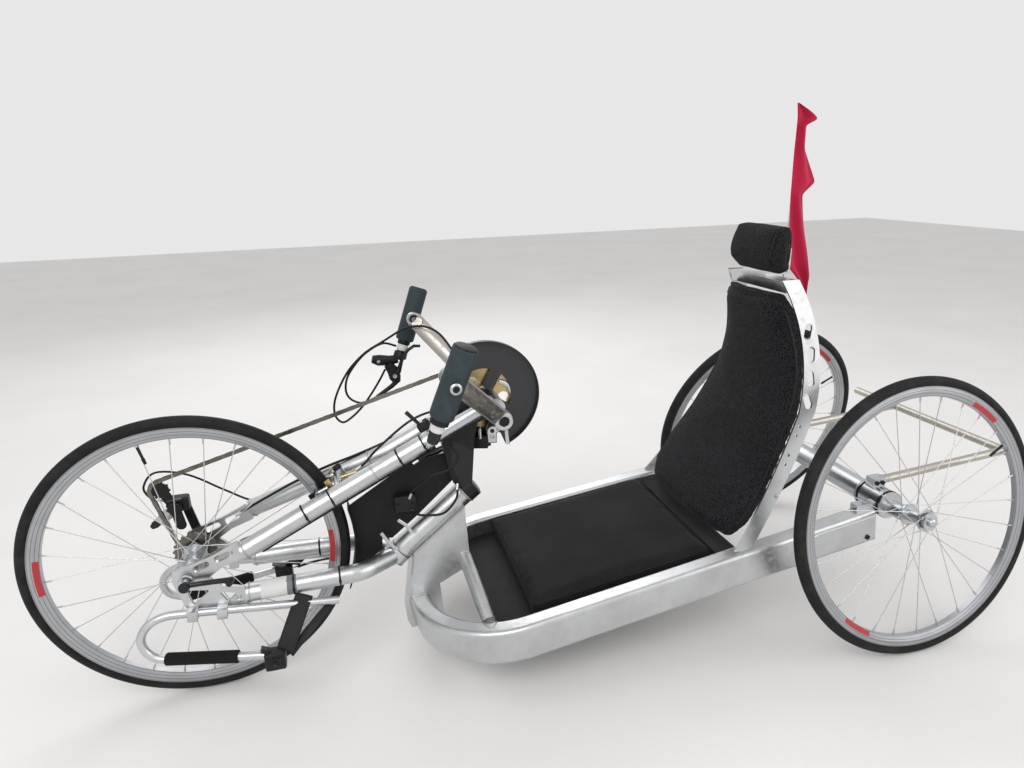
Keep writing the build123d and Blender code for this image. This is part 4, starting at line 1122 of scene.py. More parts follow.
@dataclass
class Drive:
    """Chain links, toothed rings and the derailleurs' small parts."""

    pitch: float = 0.0127
    chain_y: float = -0.052
    ring_at: tuple[float, float] = (0.157, 0.566)
    ring_radius: float = 0.074
    big_ring_radius: float = 0.098
    big_ring_y: float = -0.06
    pulley_at: tuple[float, float] = (0.823, 0.44)
    pulley_radius: float = 0.016
    low_pulley_at: tuple[float, float] = (0.805, 0.398)
    low_pulley_radius: float = 0.012
    hub_at: tuple[float, float] = (0.775, 0.305)
    rows: Rows = ((0.04, 0.031), (0.0375, 0.0352), (0.035, 0.0394), (0.0325, 0.0436), (0.03, 0.0478), (0.0275, 0.052))
    line_out: float = 0.0043
    line_points: int = 180
    tooth: float = 0.0034
    tooth_root: float = 0.001
    plate_over: float = 0.0074
    plate_thickness: float = 0.0009
    plate_height: float = 0.0076
    plate_corner: float = 0.003
    plate_ys: tuple[float, float] = (0.0027, 0.0017)
    roller_half: float = 0.0014
    roller_radius: float = 0.0037
    pin_half: float = 0.0035
    pin_radius: float = 0.0016
    sprocket_depth: float = 0.006
    sprocket_thickness: float = 0.0021
    ring_depth: float = 0.01
    ring_thickness: float = 0.0029
    ring_bolts: int = 5
    ring_bolt_at: float = 0.062
    ring_bolt_turn: float = math.radians(48.8 + 36.0)
    ring_bolt_in: float = 0.0012
    pulley_bores: tuple[float, float] = (0.006, 0.005)
    pulley_thickness: float = 0.0034
    pulley_bolt_y: float = -0.0578
    rear_mover: Point = (0.8, -0.0775, 0.399)
    linkage_size: Point = (0.03, 0.006, 0.026)
    linkage_lift: float = 0.011
    rear_bolts: tuple[tuple[Point, float, float], ...] = (
        ((0.79, -0.0843, 0.403), 0.0055, 0.0035), ((0.812, -0.0843, 0.393), 0.0045, 0.003),
        ((0.775, -0.0842, 0.314), 0.006, 0.0035))
    spring_radius: float = 0.006
    spring_points: int = 26
    rear_body: BladeRows = (
        ((0.808, -0.0815, 0.384), 0.01, 0.005), ((0.822, -0.0825, 0.375), 0.012, 0.006),
        ((0.838, -0.0825, 0.363), 0.011, 0.006), ((0.848, -0.0815, 0.356), 0.007, 0.0045))
    rear_tip: BladeRows = (
        ((0.846, -0.0815, 0.358), 0.008, 0.0052), ((0.854, -0.0815, 0.352), 0.0084, 0.0056),
        ((0.861, -0.0815, 0.347), 0.005, 0.004))
    front_strap: BladeRows = (
        ((0.126, -0.0445, 0.594), 0.0042, 0.0012), ((0.115, -0.0445, 0.59), 0.0042, 0.0012),
        ((0.105, -0.0445, 0.582), 0.0042, 0.0012), ((0.098, -0.0445, 0.566), 0.0042, 0.0012),
        ((0.095, -0.0445, 0.54), 0.004, 0.0012), ((0.102, -0.0445, 0.512), 0.004, 0.0012),
        ((0.13, -0.042, 0.484), 0.004, 0.0012), ((0.16, -0.04, 0.468), 0.004, 0.0012))
    front_link: BladeRows = (
        ((0.124, 0.0, 0.512), 0.0046, 0.0018), ((0.123, 0.0, 0.49), 0.004, 0.0018),
        ((0.121, 0.0, 0.466), 0.0046, 0.0018))

    def path(self) -> list[Vector]:
        """The chain's pins: points a pitch apart round the ring, pulley and sprocket.

        Returns:
            The pins' places.
        """
        rounds = (
            (self.ring_at, self.ring_radius), (self.pulley_at, self.pulley_radius), (self.hub_at, self.rows[-1][0]))
        cloud = []
        for (x, z), radius in rounds:
            reach = radius + self.line_out
            turns = [math.tau * number / self.line_points for number in range(self.line_points)]
            cloud += [(x + reach * math.cos(turn), z + reach * math.sin(turn)) for turn in turns]
        line = [Vector(cloud[number]) for number in convex_hull_2d([Vector(point) for point in cloud])]
        line.append(line[0])
        total = sum((b - a).length for a, b in zip(line[:-1], line[1:]))
        count = 2 * round(total / self.pitch / 2)
        step = total / count
        pins, walked = [], 0.0
        for a, b in zip(line[:-1], line[1:]):
            length = (b - a).length
            while len(pins) < count and len(pins) * step <= walked + length + 1e-9:
                pins.append(a.lerp(b, (len(pins) * step - walked) / length))
            walked += length
        return [Vector((pin.x, self.chain_y, pin.y)) for pin in pins]

    def link(self, plate_y: float) -> bpy.types.Mesh:
        """Make one link along X about its middle: two plates, a roller and a pin at its rear end.

        Args:
            plate_y: Y of its plates.

        Returns:
            The link's mesh.
        """
        bm = bmesh.new()
        for side in (-1, 1):
            size = Matrix.Diagonal((self.pitch + self.plate_over, self.plate_thickness, self.plate_height, 1.0))
            made = bmesh.ops.create_cube(bm, size=1.0, matrix=Matrix.Translation((0, side * plate_y, 0)) @ size)
            edges = [edge for edge in {edge for vert in made["verts"] for edge in vert.link_edges}
                     if abs((edge.verts[0].co - edge.verts[1].co).normalized().y) > 0.9]
            bmesh.ops.bevel(bm, geom=edges, offset=self.plate_corner, affect="EDGES", segments=2, profile=0.5,
                            material=-1)
        rear = Vector((-self.pitch / 2, 0.0, 0.0))
        across = Vector((0.0, 1.0, 0.0))
        for half, radius, sides in ((self.roller_half, self.roller_radius, 8), (self.pin_half, self.pin_radius, 6)):
            bar(bm, rear - half * across, rear + half * across, radius, sides=sides)
        mesh = bpy.data.meshes.new("link")
        bm.to_mesh(mesh)
        bm.free()
        return mesh

    def build_chain(self) -> bpy.types.Object:
        """Inner and outer links in turn, all along the path.

        Returns:
            The chain.
        """
        pins = self.path()
        links = tuple(self.link(plate_y) for plate_y in self.plate_ys)
        bm = bmesh.new()
        for number, (a, b) in enumerate(zip(pins, [*pins[1:], pins[0]])):
            run = b - a
            turn = Matrix.Rotation(-math.atan2(run.z, run.x), 4, "Y")
            start = len(bm.verts)
            bm.from_mesh(links[number % 2])
            bm.verts.ensure_lookup_table()
            bmesh.ops.transform(bm, matrix=Matrix.Translation((a + b) / 2) @ turn, verts=bm.verts[start:])
        for mesh in links:
            bpy.data.meshes.remove(mesh)
        mesh = bpy.data.meshes.new("chain_links")
        bm.to_mesh(mesh)
        bm.free()
        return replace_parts(add_mesh("chain_links", mesh, Body.FRONT, OILED_STEEL, "drive_steel"), "chain")

    def toothed(self, bm: bmesh.types.BMesh, at: tuple[float, float], y: float, radius: float, bore: float,
                thickness: float, material: int = 0) -> None:
        """Add a flat toothed ring across Y.

        Args:
            bm: the bmesh to add to.
            at: X and Z of its middle.
            y: Y of its middle.
            radius: radius at the chain's line.
            bore: radius of its opening.
            thickness: its thickness.
            material: material number of its faces.
        """
        teeth = max(9, round(math.tau * radius / self.pitch))
        before = set(bm.faces)
        outer = bmesh.ops.create_circle(bm, segments=4 * teeth, radius=radius + self.tooth)["verts"]
        for number, vert in enumerate(outer):
            if number % 4 in (0, 1):
                vert.co *= (radius - self.tooth_root) / (radius + self.tooth)
        inner = bmesh.ops.create_circle(bm, segments=4 * teeth, radius=bore)["verts"]
        rims = list({edge for vert in [*outer, *inner] for edge in vert.link_edges})
        bmesh.ops.bridge_loops(bm, edges=rims)
        flat = [face for face in bm.faces if face not in before]
        raised = bmesh.ops.extrude_face_region(bm, geom=flat)["geom"]
        bmesh.ops.translate(bm, vec=(0, 0, thickness),
                            verts=[item for item in raised if isinstance(item, bmesh.types.BMVert)])
        faces = mark_new(bm, before, material)
        place = facing((at[0], y, at[1]), (0, 1, 0)) @ Matrix.Translation((0, 0, -thickness / 2))
        bmesh.ops.transform(bm, matrix=place, verts=list({vert for face in faces for vert in face.verts}))

    def build_teeth(self) -> None:
        """Teeth round the sprockets, the rings and the pulleys."""
        bm = bmesh.new()
        for radius, from_plane in self.rows:
            self.toothed(bm, self.hub_at, -from_plane, radius, radius - self.sprocket_depth, self.sprocket_thickness)
        add_piece("sprocket_teeth", bm, Body.FRONT_WHEEL, OILED_STEEL, "drive_steel")
        bm = bmesh.new()
        for y, radius in ((self.chain_y, self.ring_radius), (self.big_ring_y, self.big_ring_radius)):
            self.toothed(bm, self.ring_at, y, radius, radius - self.ring_depth, self.ring_thickness)
        for number in range(self.ring_bolts):
            angle = self.ring_bolt_turn + math.tau * number / self.ring_bolts
            at = (
                self.ring_at[0] + self.ring_bolt_at * math.cos(angle), self.big_ring_y - self.ring_bolt_in,
                self.ring_at[1] + self.ring_bolt_at * math.sin(angle))
            socket_bolt(bm, at, (0, -1, 0), 0.0048, 0.0022)
        add_piece("ring_teeth", bm, Body.CRANK, RING_METAL, "drive_steel")
        bm = bmesh.new()
        pulleys = ((self.pulley_at, self.pulley_radius - self.tooth_root), (self.low_pulley_at, self.low_pulley_radius))
        for (at, radius), bore in zip(pulleys, self.pulley_bores):
            self.toothed(bm, at, self.chain_y, radius, bore, self.pulley_thickness)
        for x, z in (self.pulley_at, self.low_pulley_at):
            socket_bolt(bm, (x, self.pulley_bolt_y, z), (0, -1, 0), 0.0052, 0.0022, 1)
        add_piece("pulley_wheels", bm, Body.FRONT, (BLACK, BRIGHT), "black_plastic")

    def build_rear_mover(self) -> None:
        """Linkage, bolts, barrel adjuster, spring and silver body of the rear derailleur."""
        bm = bmesh.new()
        body = Vector(self.rear_mover)
        for lift in (-self.linkage_lift, self.linkage_lift):
            brick(bm, facing(body + Vector((0.004, 0.012, lift)), (0, 1, 0.25)), self.linkage_size, 0.002)
        for at, radius, height in self.rear_bolts:
            socket_bolt(bm, at, (0, -1, 0), radius, height, 1)
        bar(bm, body + Vector((0.018, -0.002, 0.004)), body + Vector((0.034, 0.0, 0.008)), 0.0042, 0.0034, 14, 1)
        turns = [0.9 * number for number in range(self.spring_points)]
        coil = [body + Vector((self.spring_radius * math.cos(turn) - 0.002, 0.004 + 0.0008 * number,
                               self.spring_radius * math.sin(turn))) for number, turn in enumerate(turns)]
        bm.from_mesh(line_mesh(coil, 0.0008))
        blade(bm, self.rear_body, 20, 1)
        blade(bm, self.rear_tip, 18)
        add_piece("derailleur_details", bm, Body.FRONT, (GLOSS_BLACK, BRIGHT), "black_plastic")

    def build_front_mover(self) -> None:
        """Blocks, cable bolt, clamp, link and silver strap of the front derailleur."""
        bm = bmesh.new()
        brick(bm, facing((0.176, -0.032, 0.466), (0.3, 1, 0)), (0.036, 0.03, 0.012), 0.003)
        brick(bm, facing((0.15, -0.03, 0.48), (0, 1, 0.3)), (0.02, 0.034, 0.01), 0.003, material=1)
        socket_bolt(bm, (0.15, -0.0245, 0.478), (0, 1, 0.3), 0.0048, 0.003, 1)
        bar(bm, (0.176, -0.026, 0.476), (0.176, -0.026, 0.5), 0.0036, 0.0028, 12, 1)
        blade(bm, self.front_strap, 12, 1)
        bar(bm, (0.157, -0.012, 0.505), (0.157, 0.01, 0.505), 0.0095, sides=24, material=1)
        bar(bm, (0.157, 0.01, 0.505), (0.157, 0.0112, 0.505), 0.0046, sides=16)
        brick(bm, Matrix.Translation((0.157, -0.001, 0.526)), (0.012, 0.006, 0.04), 0.002)
        blade(bm, self.front_link, 14, 1)
        brick(bm, Matrix.Translation((0.14, 0.0, 0.508)), (0.034, 0.004, 0.007), 0.0012, material=1)
        add_piece("front_mover_details", bm, Body.FRONT, (BLACK, BRIGHT), "black_plastic")

    def build(self) -> None:
        """All of the drive."""
        self.build_chain()
        self.build_teeth()
        self.build_rear_mover()
        self.build_front_mover()
        paint(CRANK_METAL, "crank_arms", "crank_spindle")
        paint(RING_METAL, "chainrings")
        paint(CARBON, "chain_guard")
        paint(BLACK, "derailleurs")


# Cranks and grips

@dataclass
class Grip:
    """One hand grip: foam body, collar, tape and lower tube, with a small lever on the left grip only."""

    side: Side
    body: Body
    node: str
    centre: Point = (0.278857, 0.277, 0.705196)
    lean_back: float = math.radians(20.4)
    lean_out: float = math.radians(7.6)
    foam: Rows = (
        (0.0, 0.065), (0.0204, 0.065), (0.0213, 0.064), (0.0216, 0.06), (0.0214, 0.02), (0.0216, -0.04),
        (0.0214, -0.0575), (0.02, -0.0605), (0.017, -0.062), (0.0, -0.062))
    cap: Rows = ((0.0, 0.0682), (0.015, 0.0681), (0.0182, 0.0672), (0.019, 0.0655), (0.019, 0.0645), (0.0, 0.0645))
    collar: Rows = ((0.0, -0.06), (0.0145, -0.06), (0.015, -0.064), (0.0146, -0.07), (0.0132, -0.0716), (0.0, -0.0716))
    tape: Rows = (
        (0.0, -0.07), (0.0122, -0.0712), (0.0127, -0.073), (0.0125, -0.078), (0.0128, -0.0785), (0.0126, -0.085),
        (0.0118, -0.0866), (0.0, -0.0866))
    tube: Rows = ((0.0, -0.085), (0.0112, -0.085), (0.011, -0.098), (0.0098, -0.108), (0.0086, -0.1096), (0.0, -0.1098))
    ring: Rows = (
        (0.005, -0.0006), (0.005, 0.0008), (0.0058, 0.0034), (0.0078, 0.0036), (0.0097, 0.0022), (0.01, -0.0006),
        (0.005, -0.0006))
    core: Rows = ((0.0, 0.001), (0.0052, 0.001), (0.0052, -0.0004), (0.0, -0.0004))
    eye_out: float = 0.0262
    shifter_band: Rows = ((0.013, 0.006), (0.0165, 0.006), (0.0168, -0.006), (0.013, -0.006))
    band_at: float = -0.066
    shifter_at: float = -0.07

    def axis(self) -> Vector:
        """Direction of the grip, up and leaning back and out."""
        lean = Matrix.Rotation(-self.lean_out, 3, "X") @ Matrix.Rotation(-self.lean_back, 3, "Y") @ Vector((0, 0, 1))
        return Vector((lean.x, self.side.value * lean.y, lean.z))

    def origin(self) -> Vector:
        """The grip's middle, on its pedal pin."""
        return mirrored(self.centre, self.side)

    def build(self) -> None:
        """Turn the grip, add the pin's eye, and on the left side the lever."""
        bm = bmesh.new()
        place = facing(self.origin(), self.axis())
        for material, rows in enumerate((self.foam, self.collar, self.tape, self.tube)):
            turned(bm, rows, place, 36, material)
        turned(bm, self.cap, place, 36, 1)
        if self.side is Side.LEFT:
            self.add_shifter(bm, place)
        name = "hand_grip_" + self.side.name.lower()
        piece = add_piece(name, bm, self.body, (GRIP_RUBBER, BLACK, WHITE, GLOSS_BLACK), "grip_rubber", 40.0)
        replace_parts(piece, self.node)
        bm = bmesh.new()
        out = Vector((0, self.side.value, 0))
        eye = facing(self.origin() + self.eye_out * out, out)
        turned(bm, self.ring, eye, 32)
        turned(bm, self.core, eye, 24, 1)
        add_piece("pin_eye_" + self.side.name.lower(), bm, Body.CRANK, (BRIGHT, BLACK), "brushed_alloy")

    def add_shifter(self, bm: bmesh.types.BMesh, place: Matrix) -> None:
        """Small lever on a clamp band below the grip.

        Args:
            bm: the grip's bmesh.
            place: the grip's own frame.
        """
        before = set(bm.verts)
        turned(bm, self.shifter_band, place @ Matrix.Translation((0, 0, self.band_at)), 28, 1)
        down = place @ Vector((0, 0, self.shifter_at))
        start = down + Vector((0.016, -0.01, -0.004))
        bar(bm, start, start + Vector((0.016, -0.006, -0.01)), 0.0085, 0.008, 18, 1)
        bar(bm, start + Vector((0.012, -0.006, -0.006)), start + Vector((0.036, -0.014, 0.02)), 0.003, 0.0036, 10, 3)
        bmesh.ops.smooth_vert(bm, verts=[vert for vert in bm.verts if vert not in before], factor=0.1, use_axis_x=True,
                              use_axis_y=True, use_axis_z=True)


@dataclass
class Cranks:
    """Rounded crank arms with their bosses, and both grips."""

    axle: tuple[float, float] = (0.157, 0.566)
    root_y: float = 0.103
    tip: Point = (0.278857, 0.24, 0.7052)
    root_face: float = 0.1165
    tip_face: float = 0.2305
    half_width: float = 0.0182
    half_thickness: float = 0.0105
    tip_thickness: float = 0.0086
    dome: float = 0.016
    cap_rows: Rows = (
        (0.0104, -0.001), (0.0104, 0.0026), (0.0114, 0.0036), (0.017, 0.0034), (0.0186, 0.0018), (0.0188, -0.003),
        (0.0104, -0.001))
    core_rows: Rows = ((0.0, 0.0009), (0.0112, 0.0009), (0.0112, -0.002), (0.0, -0.002))
    boss_rows: Rows = (
        (0.0107, -0.003), (0.0107, 0.003), (0.012, 0.0036), (0.015, 0.0034), (0.016, 0.002), (0.0162, -0.006),
        (0.0107, -0.003))
    arm_sections: int = 60
    arm_over: float = 0.012
    dome_over: float = 0.006
    root_dome_over: float = 0.002
    thin_from: float = 0.8
    tip_shift: float = 0.0015
    root_flat: float = 0.0205
    tip_flat: float = 0.0175
    clamp_down: float = 0.098
    clamp_rows: Rows = (
        (0.0108, -0.008), (0.015, -0.008), (0.0158, -0.006), (0.0158, 0.006), (0.015, 0.008), (0.0108, 0.008),
        (0.0108, -0.008))
    lever_body: tuple[BladeRows, ...] = (
        (((0.32, -0.262, 0.606), 0.01, 0.008), ((0.34, -0.262, 0.604), 0.012, 0.009),
         ((0.366, -0.262, 0.607), 0.0135, 0.01), ((0.38, -0.262, 0.611), 0.009, 0.0085)),
        (((0.345, -0.26, 0.596), 0.01, 0.0075), ((0.334, -0.259, 0.58), 0.014, 0.0085),
         ((0.33, -0.258, 0.562), 0.014, 0.0085), ((0.326, -0.258, 0.549), 0.0085, 0.007)),
        (((0.326, -0.258, 0.552), 0.006, 0.005), ((0.34, -0.257, 0.541), 0.0055, 0.005),
         ((0.358, -0.256, 0.53), 0.0048, 0.0048), ((0.378, -0.254, 0.519), 0.0036, 0.0036)))
    lever_blade: BladeRows = (
        ((0.332, -0.256, 0.566), 0.007, 0.0048), ((0.321, -0.255, 0.577), 0.0065, 0.005),
        ((0.315, -0.254, 0.594), 0.0048, 0.0055), ((0.308, -0.253, 0.614), 0.004, 0.0058),
        ((0.294, -0.251, 0.629), 0.0036, 0.006), ((0.281, -0.25, 0.637), 0.0036, 0.006),
        ((0.266, -0.249, 0.636), 0.0034, 0.005))
    lever_bolts: tuple[tuple[Point, float], ...] = (((0.331, -0.25, 0.568), 0.0052), ((0.366, -0.2525, 0.607), 0.004))

    def arm(self, bm: bmesh.types.BMesh, side: Side) -> None:
        """Rounded arm about the flat one, its far end domed.

        Args:
            bm: the bmesh to add to.
            side: the arm's side.
        """
        root = Vector((self.axle[0], side.value * self.root_y, self.axle[1]))
        tip = mirrored(self.tip, side)
        run = (tip - root).normalized()
        wide = run.cross(Vector((0, 1, 0))).normalized()
        thick = run.cross(wide).normalized()
        inward = thick if thick.y * side.value < 0 else -thick
        turn = Matrix((wide, thick, run)).transposed().to_4x4()
        length = (tip - root).length
        stations = []
        for step in range(self.arm_sections + 1):
            walked = -self.arm_over + (length + 2 * self.arm_over) * step / self.arm_sections
            near_end = max(0.0, walked - (length - self.dome_over),
                           -walked - self.root_dome_over + self.dome_over) / self.dome
            round_off = math.sqrt(max(0.02, 1.0 - min(1.0, near_end) ** 2))
            late = min(1.0, max(0.0, walked / length - self.thin_from) / (1.0 - self.thin_from))
            half = self.half_thickness + (self.tip_thickness - self.half_thickness) * late
            at = root + run * walked + inward * (self.tip_shift * late)
            stations.append((Matrix.Translation(at) @ turn, self.half_width * round_off, half * round_off))
        before = set(bm.verts)
        lofted(bm, stations, 32)
        for vert in bm.verts:
            if vert not in before:
                height = abs(vert.co.y)
                if math.hypot(vert.co.x - root.x, vert.co.z - root.z) < self.root_flat:
                    height = min(height, self.root_face)
                if math.hypot(vert.co.x - tip.x, vert.co.z - tip.z) < self.tip_flat:
                    height = max(height, self.tip_face)
                vert.co.y = side.value * height

    def build_lever(self) -> None:
        """Brake lever under the right grip: clamp, body, hinge and the bent blade."""
        bm = bmesh.new()
        grip = Grip(Side.RIGHT, Body.GRIP_RIGHT, "grip_right")
        turned(bm, self.clamp_rows, facing(grip.origin() - grip.axis() * self.clamp_down, grip.axis()), 32)
        for rows in self.lever_body:
            blade(bm, rows)
        blade(bm, self.lever_blade, material=1)
        for at, radius in self.lever_bolts:
            socket_bolt(bm, at, (0, 1, 0), radius, 0.003, 2)
        piece = add_piece("brake_lever_body", bm, Body.GRIP_RIGHT, (BLACK, GLOSS_BLACK, BRIGHT), "black_plastic")
        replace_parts(piece, "brake_lever")

    def build(self) -> None:
        """Arms, caps on the spindle's ends, the grips and the lever."""
        bm = bmesh.new()
        for side in Side:
            self.arm(bm, side)
            out = Vector((0, side.value, 0))
            outer = Vector((self.axle[0], side.value * self.root_face, self.axle[1]))
            turned(bm, self.cap_rows, facing(outer, out), 36, 1)
            turned(bm, self.core_rows, facing(outer, out), 32, 2)
            inner = Vector((self.tip[0], side.value * self.tip_face, self.tip[2]))
            turned(bm, self.boss_rows, facing(inner, -out), 36, 1)
            turned(bm, self.core_rows, facing(inner, -out), 32, 2)
            socket_bolt(bm, inner - 0.0008 * out, -out, 0.0056, 0.0016, 3)
        add_piece("crank_arm_bodies", bm, Body.CRANK, (CRANK_METAL, BRIGHT, BLACK, GREY_BAND), "brushed_alloy")
        Grip(Side.LEFT, Body.GRIP_LEFT, "grip_left").build()
        Grip(Side.RIGHT, Body.GRIP_RIGHT, "grip_right").build()
        self.build_lever()


@dataclass
class LeverCables:
    """The housings between the right crank arm and the brake lever."""

    arm: tuple[Point, ...] = (
        (0.1965, -0.143, 0.621), (0.207, -0.13, 0.646), (0.232, -0.15, 0.684), (0.258, -0.185, 0.696),
        (0.29, -0.222, 0.69), (0.316, -0.242, 0.676))
    outer: tuple[Point, ...] = (
        (0.317, -0.243, 0.6755), (0.351, -0.25, 0.655), (0.395, -0.25, 0.631), (0.433, -0.25, 0.596),
        (0.459, -0.25, 0.557), (0.476, -0.25, 0.517), (0.477, -0.25, 0.484), (0.462, -0.25, 0.466),
        (0.44, -0.25, 0.476), (0.414, -0.25, 0.499), (0.389, -0.25, 0.53), (0.368, -0.251, 0.56),
        (0.352, -0.253, 0.586))
    inner: tuple[Point, ...] = (
        (0.322, -0.254, 0.64), (0.352, -0.25, 0.65), (0.385, -0.25, 0.636), (0.413, -0.25, 0.613), (0.44, -0.25, 0.577),
        (0.447, -0.25, 0.543), (0.436, -0.25, 0.52), (0.409, -0.25, 0.509), (0.374, -0.253, 0.521))
    radius: float = 0.0026

    def build(self) -> None:
        """Housings from the lever, the longer one carried on along the arm past the grip's pin."""
        for word, points in (("outer", self.outer), ("inner", self.inner)):
            add_cord("lever_cable_" + word, points[::-1], self.radius, Body.GRIP_RIGHT, CABLE, "cable_black")
        add_cord("arm_cable", self.arm, self.radius, Body.CRANK, CABLE, "cable_black")


# Frame

@dataclass
class RailPlane:
    """The tilted plane of the side rails."""

    origin: Point = (-0.125, 0.0, 0.178)
    tilt: float = math.radians(8.0)
    height: float = 0.078
    width: float = 0.04

    def at(self, x: float, y: float, over: float = 0.0) -> Vector:
        """Point of the plane at an X and Y, lifted square to it.

        Args:
            x: X of the point on the plane.
            y: its Y.
            over: lift square to the plane.

        Returns:
            The point.
        """
        run = (x - self.origin[0]) / math.cos(self.tilt)
        along = Vector((math.cos(self.tilt), 0.0, -math.sin(self.tilt)))
        up = Vector((math.sin(self.tilt), 0.0, math.cos(self.tilt)))
        return Vector(self.origin) + run * along + over * up + Vector((0.0, y, 0.0))

    def turn(self) -> Matrix:
        """Rotation of things that lie along the rails."""
        return Matrix.Rotation(self.tilt, 4, "Y")


@dataclass
class FrameDetails:
    """Weld beads, end caps, bolts and the finishes of the frame."""

    rails: RailPlane = field(default_factory=RailPlane)
    head_low: Point = (0.365, 0.0, 0.254)
    head_angle: float = math.radians(38.8)
    head_length: float = 0.183
    nose_x: float = 0.334
    nose_half: float = 0.034
    rail_rear_x: float = -0.661
    rail_rear_y: float = 0.206
    axle: tuple[float, float] = (-0.705, 0.291)
    bumper: tuple[float, float] = (-1.07, 0.355)
    bumper_half: float = 0.312
    bead_lift: float = 0.0004
    squareness: float = 0.35
    brace_top: Point = (0.234, 0.026, 0.228)
    brace_low: Point = (0.219, 0.15, 0.176)
    brace_radius: float = 0.0152
    strut_run: Point = (1.0, 0.0, -0.066)
    strut_mid: Point = (-0.9, 0.166, 0.3437)
    strut_radius: float = 0.0097
    clamp_edges: tuple[float, float] = (0.1405, 0.2135)
    clamp_rings: tuple[float, float] = (0.1475, 0.206)
    pinch_bolts: tuple[float, float] = (-0.006, 0.009)
    seam_points: int = 44
    seam_y: float = 0.033
    cap_out: float = 0.0014
    cap_in: float = 0.004
    cap_thickness: float = 0.0034
    plug_rows: Rows = ((0.0, 0.0), (0.009, 0.0), (0.0094, -0.0012), (0.0094, -0.01), (0.0, -0.01))
    ring_rows: Rows = ((0.0305, -0.0028), (0.0318, -0.0028), (0.0322, 0.0), (0.0318, 0.0028), (0.0305, 0.0028))
    plate_bolts: Rows = ((-0.418, 0.351), (-0.41, 0.318), (-0.4, 0.283), (-0.38, 0.265))
    bracket_bolts: Rows = ((0.018, 0.8), (-0.018, 0.8), (0.018, 0.77), (-0.018, 0.77))
    dome_rows: Rows = (
        (0.0, 0.0028), (0.0022, 0.0026), (0.0042, 0.0016), (0.005, 0.0), (0.005, -0.0004), (0.0, -0.0004))

    def head_dir(self) -> Vector:
        """Direction up the steering head."""
        return Vector((-math.cos(self.head_angle), 0.0, math.sin(self.head_angle)))

    def section_points(self, side: Side, count: int = 72) -> list[Vector]:
        """Points round a rail's section where it meets the nose box.

        Args:
            side: the rail's side.
            count: how many points.

        Returns:
            The points, in order.
        """
        points = []
        half_x, half_z = self.rails.width / 2 + self.bead_lift, self.rails.height / 2 + self.bead_lift
        for number in range(count):
            turn = math.tau * number / count
            across = math.copysign(abs(math.cos(turn)) ** self.squareness, math.cos(turn)) * half_x
            up = math.copysign(abs(math.sin(turn)) ** self.squareness, math.sin(turn)) * half_z
            points.append(self.rails.at(self.nose_x + across * math.cos(self.rails.tilt), side.value * self.nose_half,
                                        up))
        return points

    def side_beads(self, side: Side) -> list[bpy.types.Mesh | None]:
        """Beads of one side's rail, brace, strut and axle clamp.

        Args:
            side: the side.

        Returns:
            The beads, None where a tube misses what it is welded to.
        """
        nodes = FRAME["nodes"]
        sign = side.value
        top, low = mirrored(self.brace_top, side), mirrored(self.brace_low, side)
        run = (low - top).normalized()
        middle = (top + low) / 2
        rail = Surface(nodes["rail_left" if side is Side.LEFT else "rail_right"])
        beads = [line_mesh(self.section_points(side), 0.0026, False, True, 2, weld_swell),
                 butt_weld(Surface(nodes["nose_box"]), middle, -run, self.brace_radius),
                 butt_weld(rail, middle, run, self.brace_radius)]
        strut_run = Vector(self.strut_run).normalized()
        strut_mid = mirrored(self.strut_mid, side)
        beads.append(butt_weld(Surface(nodes["axle_clamps"]), strut_mid, strut_run, self.strut_radius, 0.0016, 40))
        beads.append(butt_weld(Surface(nodes["bumper_bar"]), strut_mid, -strut_run, self.strut_radius, 0.0014, 40))
        beads += [ring_bead((self.axle[0], sign * y, self.axle[1]), (0, 1, 0), 0.0308, 0.0013, rippled=False)
                  for y in self.clamp_edges]
        return beads

    def head_beads(self) -> list[bpy.types.Mesh]:
        """Rings at the head tube's ends, and the seams between it and the nose box.

        Returns:
            The beads.
        """
        head, along = Vector(self.head_low), self.head_dir()
        beads = [ring_bead(head + distance * along, along, 0.0252, 0.0012, rippled=False)
                 for distance in (0.001, self.head_length - 0.001)]
        nose = Surface(FRAME["nodes"]["nose_box"])
        for side in Side:
            seam = []
            for number in range(self.seam_points):
                share = 0.1 + 0.8 * number / (self.seam_points - 1)
                start = head + share * self.head_length * along + Vector((0.0, side.value * self.seam_y, 0.1))
                met = nose.hit(start, (0, 0, -1))
                if met:
                    seam.append(met[0])
            if len(seam) > self.seam_points // 2:
                beads.append(line_mesh(seam, 0.0022, False, False, 2, weld_swell))
        return beads

    def build_welds(self) -> None:
        """Beads at the braces, struts, rails, head tube and clamps."""
        beads = [bead for side in Side for bead in self.side_beads(side)] + self.head_beads()
        bm = join_lines(bead for bead in beads if bead)
        add_piece("frame_welds", bm, Body.FRAME, CAST_ALLOY, "brushed_alloy", 60.0)

